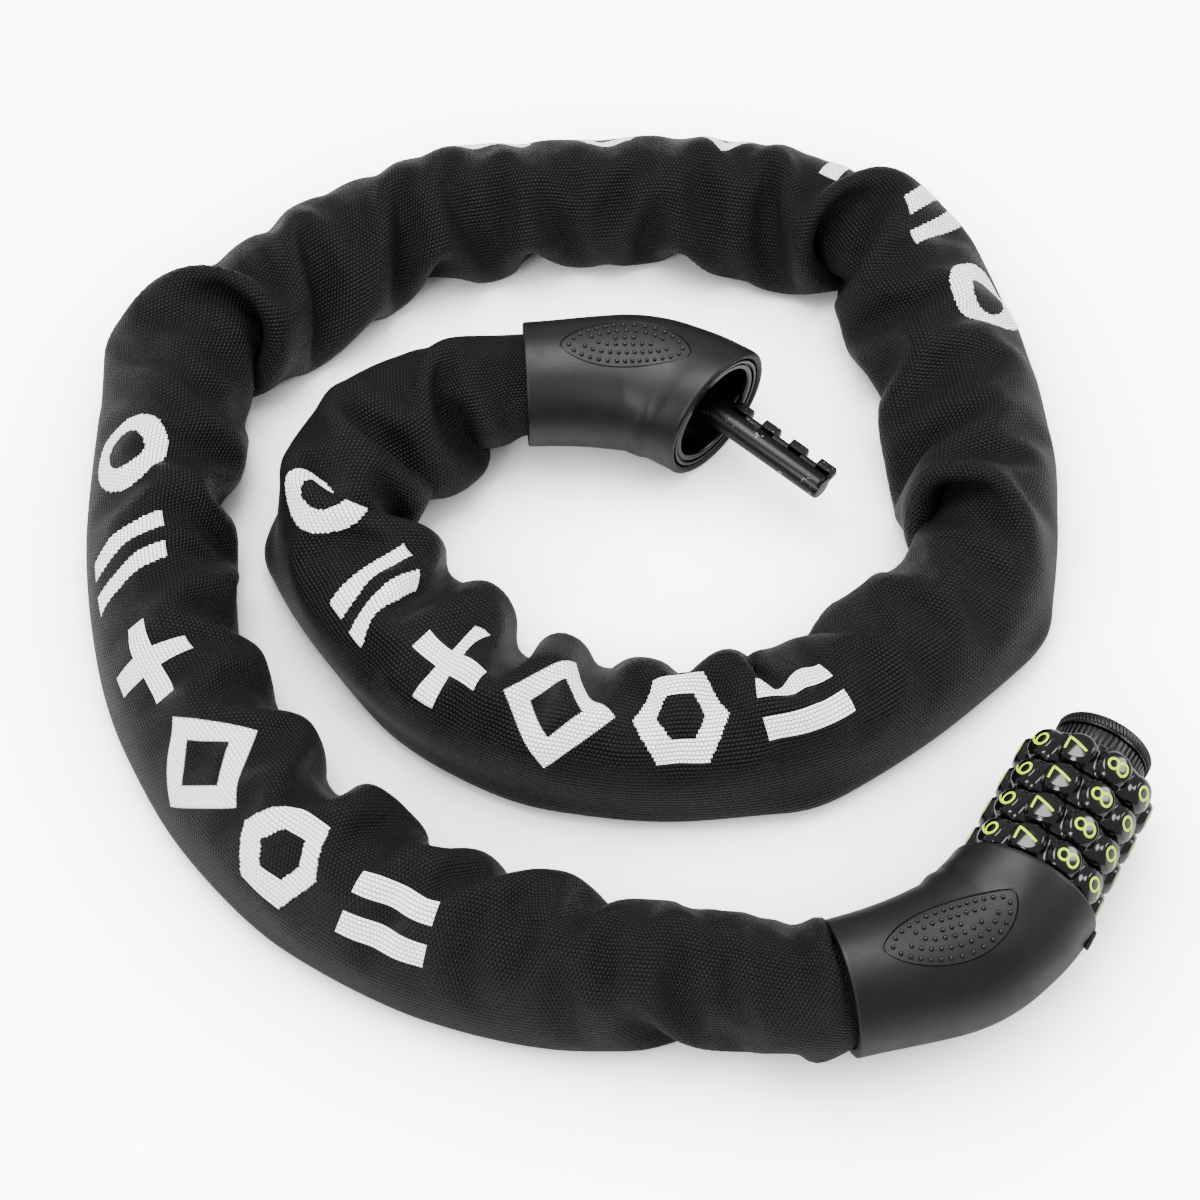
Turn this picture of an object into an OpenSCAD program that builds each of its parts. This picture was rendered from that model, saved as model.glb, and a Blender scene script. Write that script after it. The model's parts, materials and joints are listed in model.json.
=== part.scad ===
// Combination chain lock: a square-link chain in a woven sleeve, with a dial head on
// one end and a shank head on the other. The chain lies on a table in a loose spiral.
// Both heads share one local frame: origin at the middle of the mouth, +X out of the
// mouth along the lock axis, the chain leaving on the +Y side.

/* [Heads] */
// Outer diameter of a cover at its collar, where the sleeve enters
collar_od = 32; // [29:0.5:40]
// Outer diameter of a cover around its bend
bend_od = 33.5; // [30:0.5:41]
// Outer diameter of a cover at its mouth
mouth_od = 37; // [35:0.5:46]
// Wall thickness of the covers
cover_wall = 2.4; // [1.6:0.1:2.6]
// Radius of the bend's centreline
bend_radius = 28; // [24:1:36]
// Length of the straight part between the bend and the mouth
mouth_run = 6; // [5:0.5:12]
// Length of the straight part between the bend and the collar's end
collar_run = 24.5; // [22:0.5:32]
// Thickness of the soft grip pads
grip_thickness = 0.8; // [0.5:0.1:1.2]
// Length of a grip
grip_length = 34; // [24:1:36]
// Width of a grip
grip_width = 15.2; // [10:0.5:17]

/* [Dials] */
// Outer diameter over the lobes
dial_od = 34.5; // [32:0.5:42]
// Distance from one dial to the next
dial_pitch = 9; // [8:0.25:11]
// Width of one dial along the axis
dial_width = 8.6; // [7:0.1:8.6]
// Outer diameter of the code rings inside the dials
code_ring_od = 20; // [18:0.5:22]
// Outer diameter of the reset ring and the end cap
knob_od = 23.4; // [21:0.2:25]
// Length of the reset ring
reset_ring_length = 4.6; // [4:0.2:7]
// Thickness of the end cap
end_cap_thickness = 3; // [2.5:0.1:4.5]

/* [Shank] */
// Diameter of the shank
shank_d = 6.5; // [5.5:0.25:7.5]
// Length of the shank outside the cover's mouth
shank_reach = 34.5; // [34:0.5:38]
// Height of the teeth above the shank's surface
tooth_height = 3.3; // [2.6:0.1:3.5]
// Length of one tooth along the shank
tooth_length = 5.2; // [4.6:0.1:5.4]
// Thickness of the teeth
tooth_thickness = 2.8; // [2:0.1:3]
// Depth of the cup around the shank
cup_depth = 9.5; // [9:0.5:12]
// Inner diameter of the cup
cup_id = 26; // [25.5:0.5:26.5]

/* [Chain and sleeve] */
// Side of the square bar that the links are bent from
bar = 6; // [4:0.5:6.5]
// Inner length of a link
link_inner_length = 24; // [20:1:30]
// Inner width of a link
link_inner_width = 9.6; // [9.4:0.1:10]
// Free play along the chain at each end of a flat link
link_slack = 2; // [1.8:0.1:2.4]
// Diameter of the pins that hold the end links
chain_pin_d = 6; // [4:0.5:6.5]
// Width of the sleeve where it lies loose
sleeve_width = 36; // [31:0.5:42]
// Height of the sleeve where it lies loose
sleeve_height = 28; // [26.5:0.5:34]
// Thickness of the woven cloth with its folds
sleeve_wall = 0.8; // [0.6:0.1:1.2]

/* [Hidden] */
$fn = 48;

// Clearances
turn_gap = 0.1;      // radial gap of a part that turns on another
seat_gap = 0.05;     // radial gap of a part that is pushed into another
skin_gap = 0.12;     // radial gap of a part inside a cover, whose skin is many-sided
face_gap = 0.3;      // axial gap between parts that turn past each other
cut = 1;             // how far a cutting shape runs past the face that it cuts

// Where the object lies: mouths of the two heads and the headings of their axes
bend_angle = 45;
head_height = mouth_od / 2;
dial_head_place = [97.2, -95, head_height];
dial_head_heading = 60;
shank_head_place = [29.5, 40.1, head_height];
shank_head_heading = -41.5;

// The route of the chain, from the shank head's collar to the dial head's collar
route_height = sleeve_height / 2 + 0.2;
route_middle = [[-40, 48], [-56, 38], [-66, 18], [-66, -3], [-53, -25], [-37, -40], [-19, -49],
                [1, -54], [22, -54], [42, -51], [59, -41], [77, -25], [92, -5], [98, 18],
                [96, 46], [88, 76], [74, 100], [51, 115], [26, 118], [0, 117], [-28, 115],
                [-53, 108], [-76, 94], [-98, 74], [-108, 49], [-112, 23], [-110, -3],
                [-106, -26], [-96, -46], [-84, -66], [-68, -84], [-47, -96], [-27, -106],
                [-7, -112], [14, -112], [32, -115]];
collar_exit = 6;     // length of straight route outside a collar

// Cover frames
bend_arc = bend_radius * bend_angle * PI / 180;
elbow_length = collar_run + bend_arc + mouth_run;
elbow_stations = concat([0, collar_run / 2], [for (k = [0 : 6]) collar_run + k * bend_arc / 6],
                        [for (k = [1 : 3]) elbow_length - mouth_run + k * mouth_run / 3]);
mouth_flare = 12;    // length over which a cover widens to its mouth
elbow_sides = 40;
collar_at = [-mouth_run - (bend_radius + collar_run) * sin(bend_angle),
             bend_radius * (1 - cos(bend_angle)) + collar_run * sin(bend_angle)];
collar_bore_r = collar_od / 2 - cover_wall;
mouth_bore_r = mouth_od / 2 - cover_wall;
grip_at = 26;        // distance of a grip's middle from the collar's end
grip_tip = 1.2;      // half width of the pad at its tips
grip_rows = 12;
grip_columns = 6;

// Dial stack, measured along the axis from the mouth
core_r = 5.4;
bore_r = shank_d / 2 + 0.3;
keyway_width = tooth_thickness + 0.6;
keyway_r = shank_d / 2 + tooth_height + 0.4;
washer_thickness = 0.8;
plate_thickness = 4;
plate_at = -plate_thickness - 0.2;
washer_at = -0.15;
stack_at = washer_at + washer_thickness + seat_gap;
dial_count = 4;
code_ring_length = dial_pitch - washer_thickness - 2 * seat_gap;
stack_end = stack_at + dial_count * dial_pitch;
reset_ring_at = stack_end + face_gap;
end_cap_at = reset_ring_at + reset_ring_length + face_gap;
core_end = end_cap_at;
core_floor = end_cap_at + end_cap_thickness - cup_depth - shank_reach;
dial_bore_r = code_ring_od / 2 + seat_gap;
lobe_count = 10;
lobe_dip = 1.6;      // depth of the dips between the lobes
lobe_power = 3;
lobe_points = 120;
lobe_turn = -12.5;   // how far the upper lobe is turned from the top
cap_skirt_r = 8;     // radius of the cap's skirt, which the reset ring turns on
gate_lip = 1.5;
end_lip = 0.6;
click_pocket = [5, 5, 1.2];
click_leaf = [4, 4.4, 0.4];

// Anchors, the same in both heads
liner_floor = 1.5;
hub_r = 9;
hub_length = 12;
hub_at = -cup_depth - liner_floor - 0.1 - hub_length;
hub_floor = 3;
spigot_at = hub_at + hub_floor + seat_gap;
spigot_r = 5;
cross_pin_d = 3;
cross_pin_at = hub_at + 6.5;
set_screw_d = 4;
set_screw_depth = 3;
set_screw_sink = 0.6; // depth of its outer face below the cover's skin
set_screw_at = hub_at + hub_length - 3;
clevis_width = 11;
clevis_height = 17;
clevis_slot = bar + 0.6;
chain_pin_at = 17;   // distance of a chain pin from the collar's end, where the route begins
chain_pin_length = 19;
clevis_end = 36;

// Cup liner
liner_r = mouth_bore_r - skin_gap;
liner_step = 1.3;
liner_cone = 5;
liner_tail_r = bend_od / 2 - cover_wall - skin_gap;
lug_size = [2.4, 3, 1.1];
lug_turn = 60;       // turn of the lug from the side that faces the table

// Sleeve clamps
clamp_at = 2.5;
clamp_width = 7;
clamp_thickness = 0.6;
clamp_r = collar_bore_r - skin_gap;
neck_r = clamp_r - clamp_thickness - 0.1;
sleeve_sides = 16;
sleeve_rings = 72;
sleeve_inset = 5;    // distance of the sleeve's end from the chain pin, along the route
neck_length = chain_pin_at + 3;
neck_flare = 20;

// Spring behind the end plate
spring_r = 7.4;
wire_r = 0.6;
spring_turns = 3;
spring_steps = 14;
wire_sides = 6;

// ---- places ----

module along_x(h, r) rotate([0, 90, 0]) cylinder(h = h, r = r);

module in_dial_head() translate(dial_head_place) rotate([0, 0, dial_head_heading]) children();

module in_shank_head()
    translate(shank_head_place) rotate([0, 0, shank_head_heading]) rotate([180, 0, 0]) children();

module in_collar() translate([collar_at[0], collar_at[1], 0]) rotate([0, 0, -bend_angle]) children();

function ease(t) = let (u = min(max(t, 0), 1)) u * u * (3 - 2 * u);

function mix(a, b, t) = a + (b - a) * t;

// Triangles that join rings of m points; each ring's points turn so that faces look outwards
function tube_faces(rings, m, first, flip) =
    [for (i = [0 : rings - 2]) for (j = [0 : m - 1])
        let (a = first + i * m + j, b = first + i * m + (j + 1) % m, c = a + m, d = b + m)
        each flip ? [[a, c, b], [b, c, d]] : [[a, b, c], [b, d, c]]];

function fan_faces(m, first, flip) =
    [for (j = [1 : m - 2]) flip ? [first, first + j, first + j + 1] : [first, first + j + 1, first + j]];

// A pipe with a wall: its outer rings of points come first, then as many inner ones
function pipe_faces(rings, m) =
    let (total = rings * m, last = total - m)
    concat(tube_faces(rings, m, 0, true), tube_faces(rings, m, total, false),
           [for (j = [0 : m - 1])
               let (k = (j + 1) % m)
               each [[j, k, total + j], [k, total + k, total + j],
                     [last + j, total + last + j, last + k], [last + k, total + last + j, total + last + k]]]);

// ---- covers ----

// Middle of the elbow at a distance from the collar's end: x, y and heading
function elbow_pose(d) =
    d < collar_run ? [collar_at[0] + d * cos(bend_angle), collar_at[1] - d * sin(bend_angle), -bend_angle]
    : d < elbow_length - mouth_run ?
        let (left = bend_angle * (1 - (d - collar_run) / bend_arc))
        [-mouth_run - bend_radius * sin(left), bend_radius * (1 - cos(left)), -left]
    : [d - elbow_length, 0, 0];

function elbow_r(d, collar_r, bend_r, mouth_r) =
    mix(mix(collar_r, bend_r, ease(d / collar_run)), mouth_r, ease((d - elbow_length) / mouth_flare + 1));

// Point on the elbow, at an angle around it from the side where the bend's centre is
function elbow_point(d, angle, r) =
    let (pose = elbow_pose(d))
    [pose[0] - r * cos(angle) * sin(pose[2]), pose[1] + r * cos(angle) * cos(pose[2]), r * sin(angle)];

function elbow_skin(inset) =
    [for (d = elbow_stations) for (j = [0 : elbow_sides - 1])
        elbow_point(d, 360 * j / elbow_sides,
                    elbow_r(d, collar_od / 2, bend_od / 2, mouth_od / 2) - inset)];

module head_cover()
    difference() {
        polyhedron(points = concat(elbow_skin(0), elbow_skin(cover_wall)),
                   faces = pipe_faces(len(elbow_stations), elbow_sides), convexity = 6);
        translate([set_screw_at, 0, -mouth_od])
            cylinder(h = mouth_od, r = set_screw_d / 2 + seat_gap);
    }

// Pointed oval pad that follows the elbow's skin: two layers of points, u along it and v across it
function grip_point(u, v, lift) =
    let (half = grip_length / 2 * u, r = elbow_r(grip_at + half, collar_od / 2, bend_od / 2, mouth_od / 2),
         across = v * (grip_tip + (grip_width / 2 - grip_tip) * cos(90 * u)))
    elbow_point(grip_at + half, 90 + across / r * 180 / PI, r + lift);

module head_grip() {
    layer = [for (lift = [seat_gap, seat_gap + grip_thickness])
        for (i = [0 : grip_rows]) for (j = [0 : grip_columns])
            grip_point(2 * i / grip_rows - 1, 2 * j / grip_columns - 1, lift)];
    n = grip_columns + 1;
    top = (grip_rows + 1) * n;
    faces = concat(
        [for (i = [0 : grip_rows - 1]) for (j = [0 : grip_columns - 1])
            let (a = i * n + j)
            each [[a, a + n, a + 1], [a + 1, a + n, a + n + 1],
                  [top + a, top + a + 1, top + a + n], [top + a + 1, top + a + n + 1, top + a + n]]],
        [for (i = [0 : grip_rows - 1]) for (side = [0, 1])
            let (a = i * n + side * grip_columns, b = a + n)
            each side == 0 ? [[a, top + a, b], [b, top + a, top + b]] : [[a, b, top + a], [b, top + b, top + a]]],
        [for (j = [0 : grip_columns - 1]) for (side = [0, 1])
            let (a = side * grip_rows * n + j, b = a + 1)
            each side == 0 ? [[a, b, top + a], [b, top + b, top + a]] : [[a, top + a, b], [b, top + a, top + b]]]);
    polyhedron(points = layer, faces = faces, convexity = 4);
}

module dial_head_cover() color("#1d1e1e") in_dial_head() head_cover();

module dial_head_grip_top() color("#33353a") in_dial_head() head_grip();

module dial_head_grip_bottom() color("#33353a") in_dial_head() mirror([0, 0, 1]) head_grip();

module shank_head_cover() color("#1d1e1e") in_shank_head() head_cover();

module shank_head_grip_top() color("#33353a") in_shank_head() mirror([0, 0, 1]) head_grip();

module shank_head_grip_bottom() color("#33353a") in_shank_head() head_grip();

// ---- dial stack ----

// Slot for the shank's teeth, on the side away from the chain
module keyway(from, to, r)
    translate([from, -r, -keyway_width / 2]) cube([to - from, r, keyway_width]);

module core_barrel() color("#8f9194") in_dial_head()
    difference() {
        union() {
            translate([spigot_at, 0, 0]) along_x(hub_at + hub_length - spigot_at + cut, spigot_r);
            translate([hub_at + hub_length + seat_gap, 0, 0])
                along_x(core_end - hub_at - hub_length - seat_gap, core_r);
        }
        translate([core_floor, 0, 0]) along_x(core_end - core_floor + cut, bore_r);
        keyway(core_floor, core_end + cut, core_r + cut);
        cross_pin_hole();
    }

function dial_at(i) = stack_at + (dial_count - i) * dial_pitch;

// One period of the lobed outline: a dip of the body between two raised lobes
function lobe_outline(a) = dial_od / 2 - lobe_dip * pow(abs(sin(a * lobe_count / 2)), lobe_power);

module dial(i) color("#101112") in_dial_head()
    translate([dial_at(i), 0, 0])
        difference() {
            translate([(code_ring_length - dial_width) / 2, 0, 0])
                rotate([90, 0, 90])
                    linear_extrude(dial_width)
                        polygon([for (j = [0 : lobe_points - 1])
                            let (a = 360 * j / lobe_points)
                            lobe_outline(a) * [sin(a - lobe_turn), cos(a - lobe_turn)]]);
            translate([-cut, 0, 0]) along_x(dial_pitch + 2 * cut, dial_bore_r);
            translate([(code_ring_length - click_pocket[0]) / 2, -click_pocket[1] / 2, 0])
                cube([click_pocket[0], click_pocket[1], dial_bore_r + click_pocket[2]]);
        }

module code_ring(i) color("#c9a227") in_dial_head()
    translate([dial_at(i), 0, 0])
        difference() {
            along_x(code_ring_length, code_ring_od / 2);
            translate([-cut, 0, 0]) along_x(dial_pitch + 2 * cut, core_r + turn_gap);
            translate([gate_lip, 0, 0]) along_x(code_ring_length - gate_lip - end_lip, keyway_r);
            keyway(-cut, dial_pitch + cut, keyway_r);
        }

module click_spring(i) color("#b9bcc0") in_dial_head()
    translate([dial_at(i) + (code_ring_length - click_leaf[0]) / 2, -click_leaf[1] / 2,
               dial_bore_r + (click_pocket[2] - click_leaf[2]) / 2])
        cube(click_leaf);

module washer_ring(at)
    translate([at, 0, 0])
        difference() {
            along_x(washer_thickness, code_ring_od / 2 - 0.4);
            translate([-cut, 0, 0]) along_x(washer_thickness + 2 * cut, core_r + seat_gap);
            keyway(-cut, washer_thickness + cut, keyway_r);
        }

module dial_washers() color("#d8d8d4") in_dial_head()
    for (k = [0 : dial_count])
        washer_ring(washer_at + k * dial_pitch);

module end_plate() color("#2b2c2e") in_dial_head()
    difference() {
        translate([plate_at, 0, 0])
            rotate([0, 90, 0]) cylinder(h = plate_thickness, r = liner_tail_r);
        translate([plate_at - cut, 0, 0]) along_x(plate_thickness + 2 * cut, core_r + seat_gap);
        keyway(plate_at - cut, cut, keyway_r);
    }

module reset_ring() color("#17181a") in_dial_head()
    translate([reset_ring_at, 0, 0])
        difference() {
            along_x(reset_ring_length, knob_od / 2 - 0.3);
            translate([-cut, 0, 0]) along_x(reset_ring_length + 2 * cut, cap_skirt_r + turn_gap);
        }

module end_cap() color("#141516") in_dial_head()
    difference() {
        union() {
            translate([end_cap_at, 0, 0]) along_x(end_cap_thickness, knob_od / 2);
            translate([reset_ring_at, 0, 0]) along_x(reset_ring_length + face_gap, cap_skirt_r);
        }
        translate([reset_ring_at - cut, 0, 0])
            along_x(end_cap_at - reset_ring_at + cut, core_r + seat_gap);
        translate([reset_ring_at, 0, 0])
            along_x(end_cap_at - reset_ring_at + end_cap_thickness + cut, bore_r);
        keyway(reset_ring_at - cut, end_cap_at + end_cap_thickness + cut, keyway_r);
    }

// Round bar swept along a helix about X, as rings of points joined by triangles
function helix_point(step, side) =
    let (turn = 360 * step / spring_steps, tilt = 360 * side / wire_sides,
         r = spring_r + wire_r * cos(tilt))
    [spring_from + wire_r + spring_travel * step / (spring_turns * spring_steps) + wire_r * sin(tilt),
     r * cos(turn), r * sin(turn)];
spring_from = hub_at + hub_length + 0.1;
spring_travel = plate_at - 0.1 - spring_from - 2 * wire_r;

module reset_spring() color("#b9bcc0") in_dial_head() {
    rings = spring_turns * spring_steps + 1;
    points = [for (i = [0 : rings - 1]) for (j = [0 : wire_sides - 1]) helix_point(i, j)];
    faces = concat(tube_faces(rings, wire_sides, 0, true), fan_faces(wire_sides, 0, true),
                   fan_faces(wire_sides, (rings - 1) * wire_sides, false));
    polyhedron(points = points, faces = faces, convexity = 6);
}

// ---- anchors and pins ----

module anchor()
    difference() {
        union() {
            translate([hub_at, 0, 0]) along_x(hub_length, hub_r);
            in_collar()
                translate([chain_pin_at - clevis_width / 2, -clevis_width / 2, -clevis_height / 2])
                    cube([clevis_end - chain_pin_at + clevis_width / 2, clevis_width, clevis_height]);
        }
        translate([hub_at + hub_floor, 0, 0]) along_x(hub_length + cut, spigot_r + seat_gap);
        cross_pin_hole();
        in_collar() {
            translate([0, -collar_od / 2, -clevis_slot / 2])
                cube([chain_pin_at + bar + chain_pin_d / 2 + link_slack + cut, collar_od, clevis_slot]);
            translate([chain_pin_at, 0, -mouth_od / 2])
                cylinder(h = mouth_od, d = chain_pin_d + 2 * seat_gap);
        }
        translate([set_screw_at, 0, -hub_r - cut])
            cylinder(h = set_screw_depth + cut, d = set_screw_d + 2 * seat_gap);
    }

module across(at, h, d)
    translate([at, h / 2, 0]) rotate([90, 0, 0]) cylinder(h = h, d = d);

module cross_pin() across(cross_pin_at, 2 * hub_r - 1, cross_pin_d);

module cross_pin_hole() across(cross_pin_at, mouth_od, cross_pin_d + 2 * seat_gap);

module chain_pin() in_collar()
    translate([chain_pin_at, 0, -chain_pin_length / 2]) cylinder(h = chain_pin_length, d = chain_pin_d);

module set_screw()
    translate([set_screw_at, 0, -bend_od / 2 + set_screw_sink])
        cylinder(h = bend_od / 2 - set_screw_sink - 0.1 - hub_r + set_screw_depth, d = set_screw_d);

module sleeve_clamp() in_collar()
    translate([clamp_at, 0, 0])
        difference() {
            along_x(clamp_width, clamp_r);
            translate([-cut, 0, 0]) along_x(clamp_width + 2 * cut, clamp_r - clamp_thickness);
        }

module dial_head_anchor() color("#85888c") in_dial_head() anchor();

module core_pin() color("#b9bcc0") in_dial_head() cross_pin();

module dial_head_chain_pin() color("#b9bcc0") in_dial_head() chain_pin();

module dial_head_set_screw() color("#5c5e62") in_dial_head() set_screw();

module dial_head_sleeve_clamp() color("#a4a7ab") in_dial_head() sleeve_clamp();

module shank_head_anchor() color("#85888c") in_shank_head() anchor();

module shank_pin() color("#b9bcc0") in_shank_head() cross_pin();

module shank_head_chain_pin() color("#b9bcc0") in_shank_head() chain_pin();

module shank_head_set_screw() color("#5c5e62") in_shank_head() set_screw();

module shank_head_sleeve_clamp() color("#a4a7ab") in_shank_head() sleeve_clamp();

// ---- shank side ----

module cup_liner() color("#0e0f10") in_shank_head()
    difference() {
        union() {
            translate([-cup_depth - liner_floor, 0, 0])
                along_x(cup_depth + liner_floor - liner_cone, liner_tail_r);
            translate([-liner_cone, 0, 0])
                rotate([0, 90, 0]) cylinder(h = liner_cone, r1 = liner_tail_r, r2 = liner_r);
        }
        difference() {
            union() {
                translate([-cup_depth, 0, 0]) along_x(cup_depth + cut, cup_id / 2);
                translate([-liner_step, 0, 0]) along_x(liner_step + cut, cup_id / 2 + liner_step);
            }
            rotate([lug_turn, 0, 0])
                translate([-lug_size[0] - liner_step, -lug_size[1] / 2, cup_id / 2 - lug_size[2]])
                    cube([lug_size[0], lug_size[1], lug_size[2] + cut]);
        }
        translate([-cup_depth - liner_floor - cut, 0, 0])
            along_x(liner_floor + 2 * cut, spigot_r + seat_gap);
    }

function tooth_at(k) = shank_reach - tooth_length - 0.4 - k * dial_pitch;

module shank() color("#1b1c1e") in_shank_head()
    difference() {
        union() {
            translate([spigot_at, 0, 0]) along_x(-spigot_at - cup_depth + cut, spigot_r);
            translate([-cup_depth, 0, 0]) along_x(shank_reach + cup_depth, shank_d / 2);
            for (k = [0 : dial_count - 1])
                translate([tooth_at(k), -shank_d / 2 - tooth_height, -tooth_thickness / 2])
                    cube([tooth_length, tooth_height + shank_d / 2, tooth_thickness]);
        }
        cross_pin_hole();
    }

// ---- route ----

function turn_xy(p, a) = [p[0] * cos(a) - p[1] * sin(a), p[0] * sin(a) + p[1] * cos(a)];

// A point on a collar's axis: d is measured into the head, side is -1 where the head is turned over
function collar_point(place, heading, side, d) =
    let (local = [collar_at[0] + d * cos(bend_angle), side * (collar_at[1] - d * sin(bend_angle))],
         p = turn_xy(local, heading))
    [place[0] + p[0], place[1] + p[1], place[2]];

// Height of the route, which comes down from a head over a few points
function height_after(points) =
    head_height - (head_height - route_height) * min(1, [0.12, 0.5, 0.85, 1][min(points, 3)]);

route_first = [for (d = [chain_pin_at, 0, -collar_exit])
    let (p = collar_point(shank_head_place, shank_head_heading, -1, d))
    [p[0], p[1], d < 0 ? height_after(0) : p[2]]];
route_last = [for (d = [-collar_exit, 0, chain_pin_at])
    let (p = collar_point(dial_head_place, dial_head_heading, 1, d))
    [p[0], p[1], d < 0 ? height_after(0) : p[2]]];
route = concat(route_first,
               [for (i = [0 : len(route_middle) - 1])
                   [route_middle[i][0], route_middle[i][1], height_after(1 + min(i, len(route_middle) - 1 - i))]],
               route_last);

function spline(p0, p1, p2, p3, t) =
    0.5 * (2 * p1 + (p2 - p0) * t + (2 * p0 - 5 * p1 + 4 * p2 - p3) * t * t
           + (3 * p1 - p0 - 3 * p2 + p3) * t * t * t);

route_steps = 6;
route_ends = concat([2 * route[0] - route[1]], route, [2 * route[len(route) - 1] - route[len(route) - 2]]);
route_fine = concat(
    [for (i = [0 : len(route) - 2]) for (k = [0 : route_steps - 1])
        spline(route_ends[i], route_ends[i + 1], route_ends[i + 2], route_ends[i + 3], k / route_steps)],
    [route[len(route) - 1]]);
route_run = [for (i = 0, s = 0; i < len(route_fine);
                  i = i + 1, s = i < len(route_fine) ? s + norm(route_fine[i] - route_fine[i - 1]) : s) s];
route_length = route_run[len(route_run) - 1];
route_axis = [for (axis = [0 : 2]) [for (i = [0 : len(route_fine) - 1]) [route_run[i], route_fine[i][axis]]]];

function route_point(s) = [for (axis = [0 : 2]) lookup(s, route_axis[axis])];
function route_dir(s) =
    let (d = route_point(min(s + 2, route_length)) - route_point(max(s - 2, 0))) d / norm(d);
function route_side(s) = let (d = route_dir(s), n = [-d[1], d[0], 0]) n / norm(n);

// ---- chain ----

// An upright link pivots about the middles of its end bars, which stand in the flat links'
// holes, so along the chain the pivots are a long step and a short step apart in turn.
upright_step = link_inner_length + bar + 0.25;
flat_step_most = link_inner_length - bar - 2 * link_slack;
upright_count = ceil((route_length - flat_step_most) / (flat_step_most + upright_step));
flat_step = (route_length - upright_count * upright_step) / (upright_count + 1);
link_count = 2 * upright_count + 1;

function pivot_at(k) = ceil(k / 2) * flat_step + floor(k / 2) * upright_step;

module stadium(length, width)
    union() {
        square([length - width, width], center = true);
        for (side = [-1, 1])
            translate([side * (length - width) / 2, 0]) circle(d = width);
    }

module link()
    translate([0, 0, -bar / 2]) linear_extrude(bar)
        difference() {
            stadium(link_inner_length + 2 * bar, link_inner_width + 2 * bar);
            stadium(link_inner_length, link_inner_width);
        }

module link_at(k) {
    from = route_point(pivot_at(k));
    to = route_point(pivot_at(k + 1));
    d = (to - from) / norm(to - from);
    translate((from + to) / 2)
        rotate([k % 2 * 90, -asin(d[2]), atan2(d[1], d[0])])
            link();
}

module flat_links() color("#9a9da1")
    for (k = [0 : 2 : link_count - 1])
        link_at(k);

module upright_links() color("#8f9296")
    for (k = [1 : 2 : link_count - 2])
        link_at(k);

// ---- sleeve ----

function loose(s) = ease((min(s, route_length - s) - neck_length) / neck_flare);

function sleeve_point(s, a, inset) =
    let (t = loose(s), w = mix(neck_r, sleeve_width / 2, t) - inset, h = mix(neck_r, sleeve_height / 2, t) - inset,
         n = route_side(s), up = cross(route_dir(s), n))
    route_point(s) + n * w * cos(a) + up * h * sin(a);

module sleeve() color("#191817") {
    stations = [for (i = [0 : sleeve_rings - 1])
        mix(sleeve_inset, route_length - sleeve_inset, i / (sleeve_rings - 1))];
    outer = [for (s = stations) for (j = [0 : sleeve_sides - 1])
        sleeve_point(s, 360 * (j + 0.5) / sleeve_sides, 0)];
    inner = [for (s = stations) for (j = [0 : sleeve_sides - 1])
        sleeve_point(s, 360 * (j + 0.5) / sleeve_sides, sleeve_wall)];
    polyhedron(points = concat(outer, inner), faces = pipe_faces(sleeve_rings, sleeve_sides),
               convexity = 12);
}

dial_head_cover();
dial_head_grip_top();
dial_head_grip_bottom();
core_barrel();
dial(1);  // dial_1
dial(2);  // dial_2
dial(3);  // dial_3
dial(4);  // dial_4
code_ring(1);  // code_ring_1
code_ring(2);  // code_ring_2
code_ring(3);  // code_ring_3
code_ring(4);  // code_ring_4
click_spring(1);  // click_spring_1
click_spring(2);  // click_spring_2
click_spring(3);  // click_spring_3
click_spring(4);  // click_spring_4
dial_washers();
end_plate();
reset_spring();
reset_ring();
end_cap();
dial_head_anchor();
core_pin();
dial_head_chain_pin();
dial_head_set_screw();
dial_head_sleeve_clamp();
shank_head_cover();
shank_head_grip_top();
shank_head_grip_bottom();
cup_liner();
shank();
shank_head_anchor();
shank_pin();
shank_head_chain_pin();
shank_head_set_screw();
shank_head_sleeve_clamp();
flat_links();
upright_links();
sleeve();
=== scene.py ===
import json
import logging
import math
from dataclasses import dataclass, field
from enum import Enum
from typing import Sequence

import bmesh
import bpy
import numpy as np
from mathutils import Matrix, Vector

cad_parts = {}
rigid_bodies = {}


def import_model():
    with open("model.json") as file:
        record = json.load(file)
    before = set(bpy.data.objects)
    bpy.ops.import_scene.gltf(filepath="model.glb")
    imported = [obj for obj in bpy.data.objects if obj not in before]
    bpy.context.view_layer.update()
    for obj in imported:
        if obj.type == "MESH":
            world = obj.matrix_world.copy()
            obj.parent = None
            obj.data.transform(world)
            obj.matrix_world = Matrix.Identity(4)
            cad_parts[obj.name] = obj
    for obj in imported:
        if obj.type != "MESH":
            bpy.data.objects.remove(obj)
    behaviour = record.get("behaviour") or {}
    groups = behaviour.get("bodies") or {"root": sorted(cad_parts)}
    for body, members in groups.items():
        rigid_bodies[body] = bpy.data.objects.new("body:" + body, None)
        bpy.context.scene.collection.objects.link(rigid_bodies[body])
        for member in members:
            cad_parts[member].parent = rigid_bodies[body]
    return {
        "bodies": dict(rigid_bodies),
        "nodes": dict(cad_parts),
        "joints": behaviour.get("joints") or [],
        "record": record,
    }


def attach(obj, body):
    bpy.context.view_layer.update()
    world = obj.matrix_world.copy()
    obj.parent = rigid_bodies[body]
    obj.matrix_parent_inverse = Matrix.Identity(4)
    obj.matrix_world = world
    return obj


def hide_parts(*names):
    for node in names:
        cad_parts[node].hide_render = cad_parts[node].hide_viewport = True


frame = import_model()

logging.basicConfig(level=logging.INFO, format="%(message)s")
LOG = logging.getLogger("chain_lock")

MM = 0.001
COS_30 = 0.866
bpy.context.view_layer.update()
Point = tuple[float, float, float]


class Pole(Enum):
    """Side of a head that a grip sits on, as the angle around the elbow in degrees."""

    UPPER = 90.0
    LOWER = 270.0


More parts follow.
